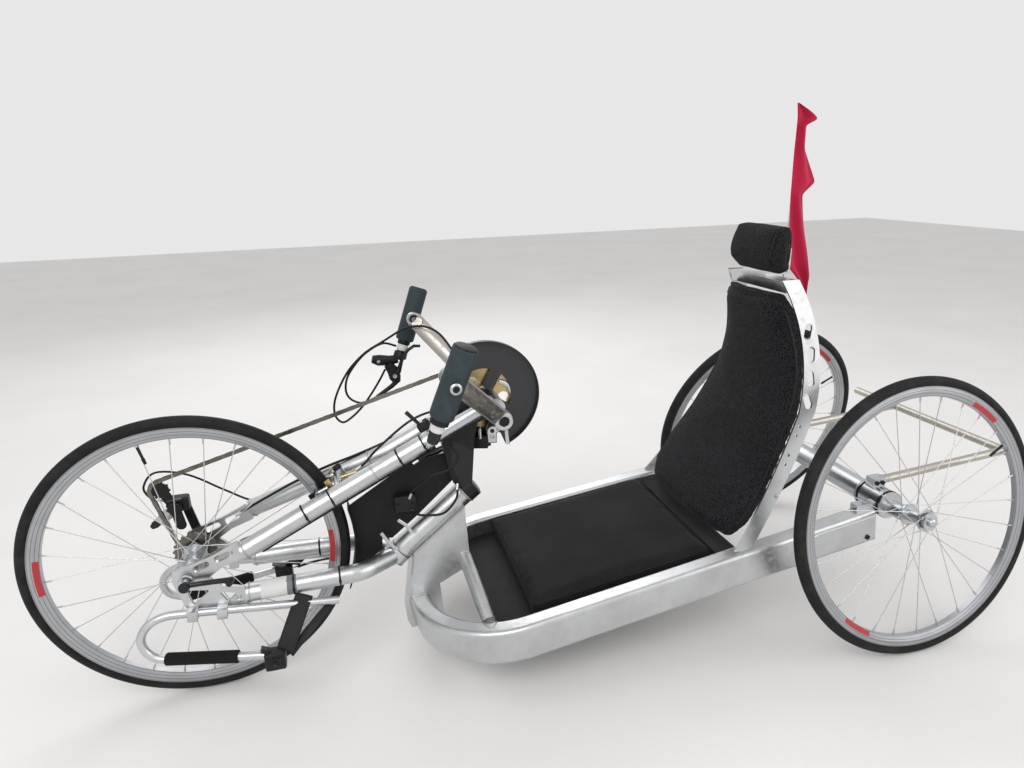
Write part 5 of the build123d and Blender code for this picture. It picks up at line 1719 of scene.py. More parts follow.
    def build_caps(self) -> None:
        """End caps of the rails and bumper bar, clamp rings, pinch bolts, and the ends of struts and braces."""
        bm = bmesh.new()
        for side in Side:
            sign = side.value
            end = self.rails.at(self.rail_rear_x - self.cap_out, sign * self.rail_rear_y)
            size = (self.cap_thickness, self.rails.width - self.cap_in, self.rails.height - self.cap_in)
            brick(bm, Matrix.Translation(end) @ self.rails.turn(), size, 0.0016)
            socket_bolt(bm, self.rails.at(-0.64, sign * (self.rail_rear_y + 0.0198), -0.022), (0, sign, 0), 0.0056,
                        0.003)
            tip = Vector((self.bumper[0], sign * self.bumper_half, self.bumper[1]))
            turned(bm, self.plug_rows, facing(tip, (0.0, sign, 0.0)), 24)
            for y in self.clamp_rings:
                turned(bm, self.ring_rows, facing((self.axle[0], sign * y, self.axle[1]), (0, 1, 0)), 40)
            for ahead in self.pinch_bolts:
                socket_bolt(bm, (self.axle[0] + ahead, sign * 0.1778, 0.33), (0, sign, 0), 0.005, 0.0034)
            bar(bm, (-0.735, sign * 0.166, 0.3325), (-0.69, sign * 0.166, 0.3296), self.strut_radius, sides=24,
                material=1)
            bar(bm, (-0.6905, sign * 0.166, 0.32965), (-0.6885, sign * 0.166, 0.3295), 0.0092, sides=24)
            bar(bm, (0.2205, sign * 0.136, 0.1815), (0.2155, sign * 0.178, 0.164), 0.0145, sides=28, material=2)
        add_piece("frame_caps", bm, Body.FRAME, (BLACK, BAR_METAL, BRUSHED), "black_plastic")

    def build_plate_bolts(self) -> None:
        """Domed bolts on the backrest's plates and the headrest's bracket."""
        bm = bmesh.new()
        plates = Surface(FRAME["nodes"]["back_plates"])
        for side in Side:
            for x, z in self.plate_bolts:
                met = plates.hit((x, side.value * 0.3, z), (0, -side.value, 0))
                if met and abs(met[0].y) > 0.15:
                    turned(bm, self.dome_rows, facing(met[0], (0, side.value, 0)), 20)
        bracket = Surface(FRAME["nodes"]["headrest_bracket"])
        for y, z in self.bracket_bolts:
            met = bracket.hit((-0.4, y, z), (-1, 0, 0))
            if met:
                turned(bm, self.dome_rows, facing(met[0], (1, 0, 0)), 20)
        add_piece("plate_bolts", bm, Body.FRAME, BRIGHT, "bright_alloy")

    def build(self) -> None:
        """Details and finishes of the frame."""
        self.build_welds()
        self.build_caps()
        self.build_plate_bolts()
        paint(BRUSHED, "rail_left", "rail_right", "nose_box", "nose_braces", "head_tube", "back_plates",
              "back_cross_plate", "headrest_bracket")
        paint(BRIGHT, "axle_tube", "axle_clamps")
        paint(BAR_METAL, "bumper_bar", "bumper_struts")
        paint(WEB_BLACK, "seat_pan")


# Front unit

@dataclass
class FrontDetails:
    """Fork welds, zip ties, dropout bolts, brake and cable box details, cables."""

    head: FrameDetails = field(default_factory=FrameDetails)
    upper_low: Point = (0.667, 0.088, 0.356)
    upper_bend: Point = (0.383, 0.033, 0.469)
    boom_end: Point = (0.157, 0.033, 0.579)
    lower_low: Point = (0.675, 0.066, 0.252)
    lower_bend: Point = (0.453, 0.062, 0.252)
    fork_radius: float = 0.0185
    bead_lift: float = 0.0002
    upper_ties: tuple[float, float] = (0.42, 0.6)
    boom_ties: tuple[float, float] = (0.12, 0.34)
    lower_ties: tuple[float, float] = (0.4, 0.8)
    lower_right_ties: tuple[float, float] = (0.62, 0.76)
    boom_stop_x: float = 0.291
    stop_rows: Rows = (
        (0.0152, 0.0008), (0.0186, 0.0008), (0.0194, 0.0), (0.0194, -0.012), (0.0186, -0.013), (0.0152, -0.013))
    grey_at: float = 0.085
    grey_rows: Rows = ((0.0184, 0.009), (0.0189, 0.009), (0.0189, -0.009), (0.0184, -0.009))
    white_at: float = 0.051
    white_rows: Rows = ((0.0184, 0.024), (0.0188, 0.024), (0.0188, -0.024), (0.0184, -0.024))
    nut_rows: Rows = ((0.0062, 0.0), (0.0135, 0.0), (0.014, 0.0016), (0.0128, 0.0034), (0.0062, 0.0036))
    top_cap_rows: Rows = (
        (0.0, 0.0042), (0.006, 0.004), (0.021, 0.003), (0.024, 0.0006), (0.024, -0.001), (0.0, -0.001))
    low_cap_rows: Rows = ((0.0, 0.0036), (0.018, 0.003), (0.0215, 0.0004), (0.0215, -0.001), (0.0, -0.001))
    knob_rows: Rows = ((0.0, 0.0), (0.0088, 0.0), (0.01, 0.0024), (0.0096, 0.0062), (0.006, 0.0082), (0.0, 0.0086))
    knob_at: Point = (0.699, 0.0915, 0.3)
    hinge_rows: Rows = ((0.0, 0.0), (0.0098, 0.0), (0.0104, 0.002), (0.009, 0.006), (0.0, 0.0066))
    hinge_at: Point = (0.775, 0.0968, 0.305)
    hub: Point = (0.775, 0.0, 0.305)
    nut_y: float = 0.079
    dropout_bolts: Rows = ((0.69, 0.35), (0.688, 0.252))
    brake_turn: float = math.radians(25.0)
    brake_at: float = 0.334
    shoe_at: float = 0.278
    spring_at: float = 0.308
    brake_half: float = 0.0168
    shoe_y: float = 0.0215
    shoe_size: Point = (0.036, 0.012, 0.006)
    shoe_bolt_y: float = 0.027
    spring_y: float = 0.0262
    spring_size: Point = (0.012, 0.034, 0.004)
    routes: tuple[tuple[str, float, tuple[Point, ...]], ...] = (
        ("box_cable_high", 0.0025,
         ((0.342, 0.024, 0.384), (0.335, 0.026, 0.4), (0.3, 0.052, 0.44), (0.262, 0.058, 0.452), (0.24, 0.052, 0.478),
          (0.262, 0.048, 0.5), (0.29, 0.046, 0.492), (0.33, 0.044, 0.47))),
        ("box_cable_low", 0.0025,
         ((0.344, 0.014, 0.354), (0.33, 0.036, 0.35), (0.3, 0.046, 0.348), (0.272, 0.048, 0.352), (0.246, 0.04, 0.376),
          (0.24, 0.024, 0.4))),
        ("brake_cable", 0.0025,
         ((0.442, 0.02, 0.462), (0.425, 0.02, 0.474), (0.395, 0.012, 0.5), (0.33, 0.004, 0.545), (0.28, 0.0, 0.56),
          (0.262, 0.0, 0.548))),
        ("mover_cable", 0.0022,
         ((0.834, -0.0775, 0.407), (0.85, -0.08, 0.412), (0.862, -0.086, 0.436), (0.838, -0.094, 0.462),
          (0.78, -0.1, 0.446), (0.716, -0.106, 0.398), (0.664, -0.1115, 0.362), (0.62, -0.104, 0.374))),
        ("top_housing", 0.0028,
         ((0.693, -0.052, 0.363), (0.628, -0.052, 0.394), (0.562, -0.052, 0.4235), (0.5, -0.048, 0.448),
          (0.435, -0.04, 0.47), (0.36, -0.036, 0.498), (0.277, -0.034, 0.5385))))
    connectors: Rows = ((0.336, 0.384), (0.35, 0.384), (0.344, 0.356))
    box_bolts: tuple[float, float] = (0.336, 0.366)
    panel_straps: tuple[BladeRows, BladeRows] = (
        (((0.407, 0.03, 0.316), 0.0036, 0.0012), ((0.393, 0.03, 0.29), 0.0036, 0.0012),
         ((0.377, 0.03, 0.27), 0.0036, 0.0012)),
        (((0.37, 0.03, 0.34), 0.0036, 0.0012), ((0.354, 0.03, 0.325), 0.0036, 0.0012),
         ((0.343, 0.03, 0.305), 0.0036, 0.0012)))
    mast_plate: Rows = ((0.247, 0.499), (0.25, 0.443), (0.233, 0.401), (0.217, 0.37), (0.21, 0.369), (0.202, 0.47))
    mast_ys: tuple[float, float] = (0.017, 0.018)

    def tie(self, at: Vector, axis: Vector, radius: float) -> bmesh.types.BMesh:
        """Zip tie with its head and tail about a tube.

        Args:
            at: middle of the tube there.
            axis: the tube's direction.
            radius: the tube's radius.

        Returns:
            The tie.
        """
        bm = bmesh.new()
        turned(bm,
               ((radius + 0.0002, -0.0018), (radius + 0.0016, -0.0018), (radius + 0.0016, 0.0018),
                (radius + 0.0002, 0.0018)), facing(at, axis), 32)
        side = axis.cross(Vector((0, 0, 1))).normalized()
        brick(bm, facing(at + side * (radius + 0.0025), side), (0.005, 0.0048, 0.004), 0.0008)
        bar(bm, at + side * (radius + 0.003), at + side * (radius + 0.018) + Vector((0, 0, 0.006)), 0.001, 0.0007, 6)
        return bm

    def build_ties(self) -> None:
        """Ties that hold the cables to the fork and boom tubes."""
        bm = bmesh.new()
        upper, bend, low = Vector(self.upper_low), Vector(self.upper_bend), Vector(self.lower_low)
        first, second, third = bend - upper, Vector(self.boom_end) - bend, Vector(self.lower_bend) - low
        places = [(upper + share * first, first) for share in self.upper_ties]
        places += [(bend + share * second, second) for share in self.boom_ties]
        places += [(low + share * third, third) for share in self.lower_ties]
        places += [(mirrored(low + share * third, Side.RIGHT), mirrored(third, Side.RIGHT))
                   for share in self.lower_right_ties]
        for at, run in places:
            mesh = bpy.data.meshes.new("tie")
            self.tie(at, run.normalized(), self.fork_radius).to_mesh(mesh)
            bm.from_mesh(mesh)
            bpy.data.meshes.remove(mesh)
        add_piece("cable_ties", bm, Body.FRONT, BLACK, "black_plastic")

    def build_welds(self) -> None:
        """Beads, stops and bands on the fork tubes, crowns and boom."""
        beads = []
        bands = bmesh.new()
        around = self.fork_radius + self.bead_lift
        for side in Side:
            low, bend = mirrored(self.upper_low, side), mirrored(self.upper_bend, side)
            end = mirrored(self.boom_end, side)
            first, second = (bend - low).normalized(), (end - bend).normalized()
            beads.append(ring_bead(bend - first * 0.03, first, around, 0.0017, 48))
            stop = bend + second * ((self.boom_stop_x - bend.x) / second.x)
            turned(bands, self.stop_rows, facing(stop, second), 36)
            drop = mirrored(self.lower_low, side)
            run = (mirrored(self.lower_bend, side) - drop).normalized()
            beads.append(ring_bead(drop + run * 0.006, run, around, 0.0018, 48))
            beads.append(ring_bead(low + first * 0.006, first, around, 0.0018, 48))
            if side is Side.LEFT:
                turned(bands, self.grey_rows, facing(drop + run * self.grey_at, run), 36, 1)
                turned(bands, self.white_rows, facing(drop + run * self.white_at, run), 36, 2)
        head, along = Vector(self.head.head_low), self.head.head_dir()
        for distance in (-0.0235, self.head.head_length + 0.0015):
            beads.append(ring_bead(head + distance * along, along, 0.0268, 0.0015))
        add_piece("fork_welds", join_lines(beads), Body.FRONT, CAST_ALLOY, "brushed_alloy", 60.0)
        add_piece("fork_bands", bands, Body.FRONT, (BRIGHT, GREY_BAND, WHITE), "brushed_alloy")

    def build_bolts(self) -> None:
        """Bolts of the dropouts, the axle's nuts, the head's caps, and the release lever's knob and hinge."""
        bm = bmesh.new()
        for side in Side:
            sign = side.value
            for x, z in self.dropout_bolts:
                socket_bolt(bm, (x, sign * self.nut_y, z), (0, sign, 0), 0.0046, 0.003)
            turned(bm, self.nut_rows, facing((self.hub[0], sign * self.nut_y, self.hub[2]), (0, sign, 0)), 32)
        head, along = Vector(self.head.head_low), self.head.head_dir()
        turned(bm, self.top_cap_rows, facing(head + along * (self.head.head_length + 0.025), along), 40, 1)
        turned(bm, self.low_cap_rows, facing(head - along * 0.024, -along), 40, 1)
        add_piece("front_bolts", bm, Body.FRONT, (BRIGHT, GLOSS_BLACK), "brushed_alloy")
        bm = bmesh.new()
        turned(bm, self.knob_rows, facing(self.knob_at, (-0.8, 0.5, -0.2)), 28)
        turned(bm, self.hinge_rows, facing(self.hinge_at, (0, 1, 0)), 28)
        add_piece("release_knob", bm, Body.FRONT, GLOSS_BLACK, "black_plastic")

    def build_brake(self) -> None:
        """Bolts, pads' shoes and spring plates of the front brake."""
        bm = bmesh.new()
        turn = self.brake_turn
        out = Vector((-math.cos(turn), 0.0, math.sin(turn)))
        hub = Vector(self.hub)
        along = Vector((math.sin(turn), 0.0, math.cos(turn)))
        top = hub + out * self.brake_at
        socket_bolt(bm, top + along * self.brake_half, along, 0.009, 0.006, 1)
        socket_bolt(bm, top - along * self.brake_half, -along, 0.008, 0.005, 1)
        for side in Side:
            across = Vector((0.0, side.value, 0.0))
            tilt = Matrix.Rotation(turn, 4, "Z")
            shoe = hub + out * self.shoe_at
            brick(bm, facing(shoe + across * self.shoe_y, across) @ tilt, self.shoe_size, 0.002, material=1)
            socket_bolt(bm, shoe + across * self.shoe_bolt_y, across, 0.005, 0.004)
            spring = hub + out * self.spring_at + across * self.spring_y
            brick(bm, facing(spring, across) @ tilt, self.spring_size, 0.0015, material=2)
        bar(bm, top + Vector((0.0, 0.02, 0.004)), top + Vector((-0.03, 0.022, 0.012)), 0.0032, 0.0026, 12, 2)
        add_piece("brake_details", bm, Body.FRONT, (BRIGHT, BLACK, GOLD_METAL), "bright_alloy")

    def build_cables(self) -> None:
        """Cable housings on the front unit, each from one fitting to another, and their metal ends."""
        for name, radius, route in self.routes:
            add_cord(name, route, radius, Body.FRONT, CABLE, "cable_black")
        bm = bmesh.new()
        for _, _, route in self.routes:
            for at, toward in ((route[0], route[1]), (route[-1], route[-2])):
                run = (Vector(toward) - Vector(at)).normalized()
                bar(bm, Vector(at) - run * 0.001, Vector(at) + run * 0.012, 0.0034, 0.003, 14)
        add_piece("cable_ends", bm, Body.FRONT, BRIGHT, "bright_alloy")

    def build_box(self) -> None:
        """Connectors on the cable box, two curved straps on the panel and the mast's side plates."""
        bm = bmesh.new()
        for x, z in self.connectors:
            lift = 0.006 if z > 0.37 else -0.006
            bar(bm, (x, 0.013, z), (x, 0.013, z + lift), 0.0052, 0.0044, 14)
        for x in self.box_bolts:
            socket_bolt(bm, (x, 0.0236, 0.37), (0, 1, 0), 0.003, 0.0016)
        for rows in self.panel_straps:
            blade(bm, rows, 12, 1)
            middle = rows[1][0]
            bar(bm, (middle[0], 0.001, middle[2]), middle, 0.003, sides=12, material=1)
        for side in Side:
            plate(bm, self.mast_plate, *(side.value * y for y in self.mast_ys), 2)
        add_piece("box_details", bm, Body.FRONT, (BLACK, BRIGHT, GLOSS_BLACK), "black_plastic")

    def build(self) -> None:
        """All details of the front unit."""
        self.build_welds()
        self.build_ties()
        self.build_bolts()
        self.build_brake()
        self.build_cables()
        self.build_box()
        paint(BRUSHED, "upper_fork", "lower_fork", "dropouts", "foot_loops")
        paint(BRIGHT, "boom", "brake_caliper")
        paint(GLOSS_BLACK, "release_lever")
        paint(BLACK, "mast", "cable_box")
        paint(WEB_BLACK, "splash_guard")
        paint(CABLE, "fork_cable")


# Soft goods

@dataclass
class Padding:
    """A stuffed piece swollen from its CAD solid by cloth pressure."""

    name: str
    node: str
    body: Body
    finish: Finish
    slot: str
    voxel: float = 0.005
    shrink: float = 0.004
    cap: float = 0.007
    pressure: float = 4.0
    frames: int = 20
    fill: float = 0.7
    rounds: int = 3
    crown: float = 0.0

    def crowned(self, mesh: bpy.types.Mesh, bins: int = 40) -> None:
        """Pull both edges of an upright pad backwards, so that its front is crowned from side to side.

        Args:
            mesh: the pad's mesh, changed here.
            bins: rows over its height.
        """
        low = min(vert.co.z for vert in mesh.vertices)
        span = max(vert.co.z for vert in mesh.vertices) - low + 1e-6
        rows: dict[int, list[bpy.types.MeshVertex]] = {}
        for vert in mesh.vertices:
            rows.setdefault(int(bins * (vert.co.z - low) / span), []).append(vert)
        for row in rows.values():
            rear, front = min(vert.co.x for vert in row), max(vert.co.x for vert in row)
            half = max(abs(vert.co.y) for vert in row)
            depth = self.crown * (1.0 + 0.5 * (1.0 - (row[0].co.z - low) / span))
            for vert in row:
                share = min(1.0, abs(vert.co.y) / max(half, 0.05))
                vert.co.x -= depth * share ** 3 * (vert.co.x - rear) / max(front - rear, 0.01)

    def remeshed(self) -> bpy.types.Object:
        """A voxel copy of the solid, smoothed and shrunk a little.

        Returns:
            The copy.
        """
        bm = bmesh.new()
        bm.from_mesh(FRAME["nodes"][self.node].data)
        recalc(bm)
        mesh = bpy.data.meshes.new(self.name)
        bm.to_mesh(mesh)
        bm.free()
        rough = bpy.data.objects.new(self.name + "_rough", mesh)
        bpy.context.collection.objects.link(rough)
        remesh = rough.modifiers.new("remesh", "REMESH")
        remesh.mode = "VOXEL"
        remesh.voxel_size = self.voxel
        fine = bpy.data.meshes.new_from_object(rough.evaluated_get(bpy.context.evaluated_depsgraph_get()))
        bpy.data.objects.remove(rough)
        bm = bmesh.new()
        bm.from_mesh(fine)
        for _ in range(self.rounds):
            bmesh.ops.smooth_vert(bm, verts=bm.verts, factor=0.5, use_axis_x=True, use_axis_y=True, use_axis_z=True)
        bm.normal_update()
        for vert in bm.verts:
            vert.co -= vert.normal * self.shrink
        bm.to_mesh(fine)
        bm.free()
        soft = bpy.data.objects.new(self.name, fine)
        bpy.context.collection.objects.link(soft)
        return soft

    def swell(self, soft: bpy.types.Object) -> bpy.types.Mesh:
        """Let cloth pressure crown the piece, no point moving further than the cap.

        Args:
            soft: the remeshed piece.

        Returns:
            The swollen mesh.
        """
        scene = bpy.context.scene
        cloth = soft.modifiers.new("cloth", "CLOTH")
        cloth.settings.use_pressure = True
        cloth.settings.uniform_pressure_force = self.pressure
        cloth.settings.effector_weights.gravity = 0.0
        cloth.settings.quality = 4
        cloth.point_cache.frame_start = 1
        cloth.point_cache.frame_end = self.frames
        for frame in range(1, self.frames + 1):
            scene.frame_set(frame)
        mesh = bpy.data.meshes.new_from_object(soft.evaluated_get(bpy.context.evaluated_depsgraph_get()))
        for start, vert in zip(soft.data.vertices, mesh.vertices):
            move = vert.co - start.co
            if move.length > self.cap:
                vert.co = start.co + move.normalized() * self.cap
        scene.frame_set(1)
        return mesh

    def build(self) -> bpy.types.Object:
        """The finished pad, standing for its CAD node.

        Returns:
            The pad.
        """
        soft = self.remeshed()
        mesh = self.swell(soft)
        mesh = mesh.copy()
        bpy.data.objects.remove(soft)
        if self.crown:
            self.crowned(mesh)
        piece = add_mesh(self.name, mesh, self.body, self.finish, self.slot, 180.0)
        level = piece.modifiers.new("smooth", "SUBSURF")
        level.levels = level.render_levels = 1
        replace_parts(piece, self.node)
        return piece


def sewn_line(name: str, pad: bpy.types.Object, points: Sequence[Sequence[float]], body: Body, finish: Finish,
              slot: str, radius: float = 0.0022, closed: bool = True) -> bpy.types.Object:
    """Piping laid on a pad's surface through points near it.

    Args:
        name: the piece's name.
        pad: the pad it is sewn to.
        points: points near the surface, in order.
        body: the body it rides on.
        finish: its finish.
        slot: passed on to add_mesh, where it is not used.
        radius: the piping's radius.
        closed: joined end to end.

    Returns:
        The piping.
    """
    surface = Surface(pad)
    return add_mesh(name, line_mesh([surface.nearest(point) for point in points], radius, True, closed, 3), body,
                    finish, slot, 60.0)


@dataclass
class Seat:
    """Seat cushion, back pad, headrest and sling, with their piping."""

    rails: RailPlane = field(default_factory=RailPlane)
    cushion_front: float = 0.127
    cushion_rear: float = -0.289
    cushion_half: float = 0.1895
    cushion_low: float = -0.0047
    cushion_high: float = 0.0453
    pad_rows: Rows = (
        (0.262, 0.172), (0.298, 0.197), (0.345, 0.197), (0.47, 0.171), (0.61, 0.144), (0.736, 0.113), (0.766, 0.088))
    headrest_rows: Rows = (
        (-0.489, 0.808), (-0.461, 0.8), (-0.432, 0.829), (-0.431, 0.858), (-0.447, 0.903), (-0.481, 0.905),
        (-0.489, 0.882))
    headrest_half: float = 0.074
    sling_from: float = -0.295
    sling_to: float = -0.341
    sling_half: float = 0.1905
    sling_over: float = 0.0255
    sling_sag: float = 0.004
    sling_ripple: float = 0.0006
    sling_wall: float = 0.0018
    corner_inset: float = 0.004
    corner_radius: float = 0.022
    corner_steps: int = 4
    piping_in: tuple[float, float] = (0.005, 0.006)
    piping_step: float = 0.03
    piping_share: float = 0.955
    ray_from: float = 0.4

    def cushion_points(self, over: float) -> list[Vector]:
        """Corner-rounded rectangle round the cushion at a height over the rails' plane.

        Args:
            over: height over the rails' plane.

        Returns:
            The points, in order.
        """
        points = []
        inset, corner = self.corner_inset, self.corner_radius
        corners = (
            (self.cushion_front - inset, self.cushion_half - inset, 0.0),
            (self.cushion_rear + inset, self.cushion_half - inset, 90.0),
            (self.cushion_rear + inset, -self.cushion_half + inset, 180.0),
            (self.cushion_front - inset, -self.cushion_half + inset, 270.0))
        for x, y, start in corners:
            middle = (
                x - math.copysign(corner, x - (self.cushion_front + self.cushion_rear) / 2),
                y - math.copysign(corner, y))
            for number in range(self.corner_steps + 1):
                turn = math.radians(start + 90.0 * number / self.corner_steps)
                points.append(self.rails.at(middle[0] + corner * math.cos(turn), middle[1] + corner * math.sin(turn),
                                            over))
        return points

    def build_cushion(self) -> None:
        """Foam cushion in a smooth cover with piping above and below."""
        pad = Padding("seat_foam", "seat_cushion", Body.FRAME, CUSHION_CLOTH, "cushion_cover", 0.006, 0.003,
                      0.007).build()
        for word, over in (("upper", self.cushion_high - self.piping_in[0]),
                           ("lower", self.cushion_low + self.piping_in[1])):
            sewn_line("cushion_piping_" + word, pad, self.cushion_points(over), Body.FRAME, CUSHION_CLOTH,
                      "cushion_cover", 0.0017)

    def build_back(self) -> None:
        """Tall curved pad in open spacer cloth, with piping along its front edge."""
        pad = Padding("back_foam", "back_pad", Body.FRAME, SPACER_CLOTH, "mesh_cloth", 0.006, 0.003, 0.008,
                      crown=0.024).build()
        front = Surface(pad)
        outline = [(half, z) for z, half in self.pad_rows] + [(-half, z) for z, half in reversed(self.pad_rows)]
        points = []
        for (y0, z0), (y1, z1) in zip(outline, [*outline[1:], outline[0]]):
            steps = max(1, round(math.hypot(y1 - y0, z1 - z0) / self.piping_step))
            for number in range(steps):
                share = number / steps
                y, z = y0 + share * (y1 - y0), z0 + share * (z1 - z0)
                met = front.hit((self.ray_from, self.piping_share * y, z), (-1, 0, 0))
                if met:
                    points.append(met[0])
        sewn_line("back_piping", pad, points, Body.FRAME, STRAP_CLOTH, "mesh_cloth", 0.002)

    def build_headrest(self) -> None:
        """Small pad on the bracket, with piping round both ends."""
        pad = Padding("headrest_foam", "headrest_pad", Body.FRAME, SPACER_CLOTH, "mesh_cloth", 0.004, 0.002, 0.005,
                      pressure=5.0).build()
        for word, sign in (("left", 1), ("right", -1)):
            points = [(x, sign * self.headrest_half, z) for x, z in self.headrest_rows]
            sewn_line("headrest_piping_" + word, pad, points, Body.FRAME, STRAP_CLOTH, "mesh_cloth", 0.0016)

    def build_sling(self) -> None:
        """Strip of cloth stretched between the rails behind the cushion."""
        bm = bmesh.new()
        bmesh.ops.create_grid(bm, x_segments=8, y_segments=40, size=0.5)
        length, width = abs(self.sling_to - self.sling_from), 2 * self.sling_half
        for vert in bm.verts:
            across, along = vert.co.y * width, vert.co.x * length
            sag = self.sling_sag * (1.0 - (2.0 * across / width) ** 2)
            sag += self.sling_ripple * math.sin(160.0 * along + 9.0 * across)
            vert.co = self.rails.at((self.sling_from + self.sling_to) / 2 + along, across, self.sling_over - sag)
        recalc(bm)
        piece = add_piece("seat_sling_cloth", bm, Body.FRAME, STRAP_CLOTH, "mesh_cloth", 80.0)
        wall = piece.modifiers.new("wall", "SOLIDIFY")
        wall.thickness = self.sling_wall
        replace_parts(piece, "seat_sling")

    def build(self) -> None:
        """All of the seat."""
        self.build_cushion()
        self.build_back()
        self.build_headrest()
        self.build_sling()


@dataclass
class Flag:
    """Limp flag that hangs in folds beside its pole."""

    pole_side: Rows = (
        (1.147, -0.513), (1.06, -0.517), (0.96, -0.52), (0.856, -0.527), (0.81, -0.527), (0.77, -0.567),
        (0.717, -0.587))
    free_side: Rows = (
        (1.147, -0.514), (1.112, -0.57), (1.104, -0.539), (1.053, -0.548), (0.986, -0.582), (0.962, -0.553),
        (0.863, -0.571), (0.785, -0.586), (0.717, -0.588))
    middle_y: float = 0.0062
    fold: float = 0.0062
    wall: float = 0.0006
    rows: int = 96
    columns: int = 14
    pole_x: float = -0.5276
    sleeve_z: float = 1.094
    sleeve_rows: Rows = ((0.0027, -0.045), (0.0042, -0.045), (0.0044, 0.0), (0.0042, 0.045), (0.0027, 0.045))
    tie_zs: tuple[float, float] = (0.83, 0.8)
    tie_rows: Rows = ((0.0026, -0.003), (0.0046, -0.003), (0.0046, 0.003), (0.0026, 0.003))

    def edge(self, rows: Sequence[tuple[float, float]], z: float) -> float:
        """X of an edge at a height.

        Args:
            rows: the edge's points, as Z and X from the top down.
            z: the height.

        Returns:
            The X.
        """
        for (z0, x0), (z1, x1) in zip(rows[:-1], rows[1:]):
            if z1 <= z <= z0:
                return x0 + (x1 - x0) * (z0 - z) / (z0 - z1)
        return rows[-1][1]

    def build(self) -> None:
        """One sheet with folds that run down it, and its sleeve on the pole."""
        bm = bmesh.new()
        bmesh.ops.create_grid(bm, x_segments=self.columns, y_segments=self.rows, size=0.5)
        high, low = self.pole_side[0][0] - 0.001, self.pole_side[-1][0] + 0.001
        for vert in bm.verts:
            across, down = vert.co.x + 0.5, 0.5 - vert.co.y
            z = high + (low - high) * down
            near, far = self.edge(self.pole_side, z), self.edge(self.free_side, z)
            phase = 2.4 * math.pi * across + 3.0 * math.sin(5.0 * down) + 4.0 * down
            depth = self.fold * min(1.0, 0.35 + 2.0 * across) * min(1.0, abs(near - far) / 0.03)
            vert.co = Vector((near + (far - near) * across, self.middle_y + depth * math.sin(phase), z))
        bmesh.ops.smooth_vert(bm, verts=bm.verts, factor=0.5, use_axis_x=True, use_axis_y=True, use_axis_z=True)
        recalc(bm)
        area = sum(face.calc_area() for face in bm.faces)
        piece = add_piece("flag_cloth", bm, Body.FRAME, FLAG_CLOTH, "flag_cloth", 180.0)
        length = high - low
        wall = piece.modifiers.new("wall", "SOLIDIFY")
        wall.thickness = self.wall
        smooth = piece.modifiers.new("smooth", "SUBSURF")
        smooth.levels = smooth.render_levels = 1
        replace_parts(piece, "flag")
        bm = bmesh.new()
        turned(bm, self.sleeve_rows, Matrix.Translation((self.pole_x, 0.0, self.sleeve_z)), 20)
        for z in self.tie_zs:
            turned(bm, self.tie_rows, Matrix.Translation((self.pole_x, 0.0, z)), 20, 1)
        sleeve = add_piece("flag_sleeve", bm, Body.FRAME, (FLAG_CLOTH, BLACK), "flag_cloth")
        area / length
        paint(WHITE, "flag_pole")


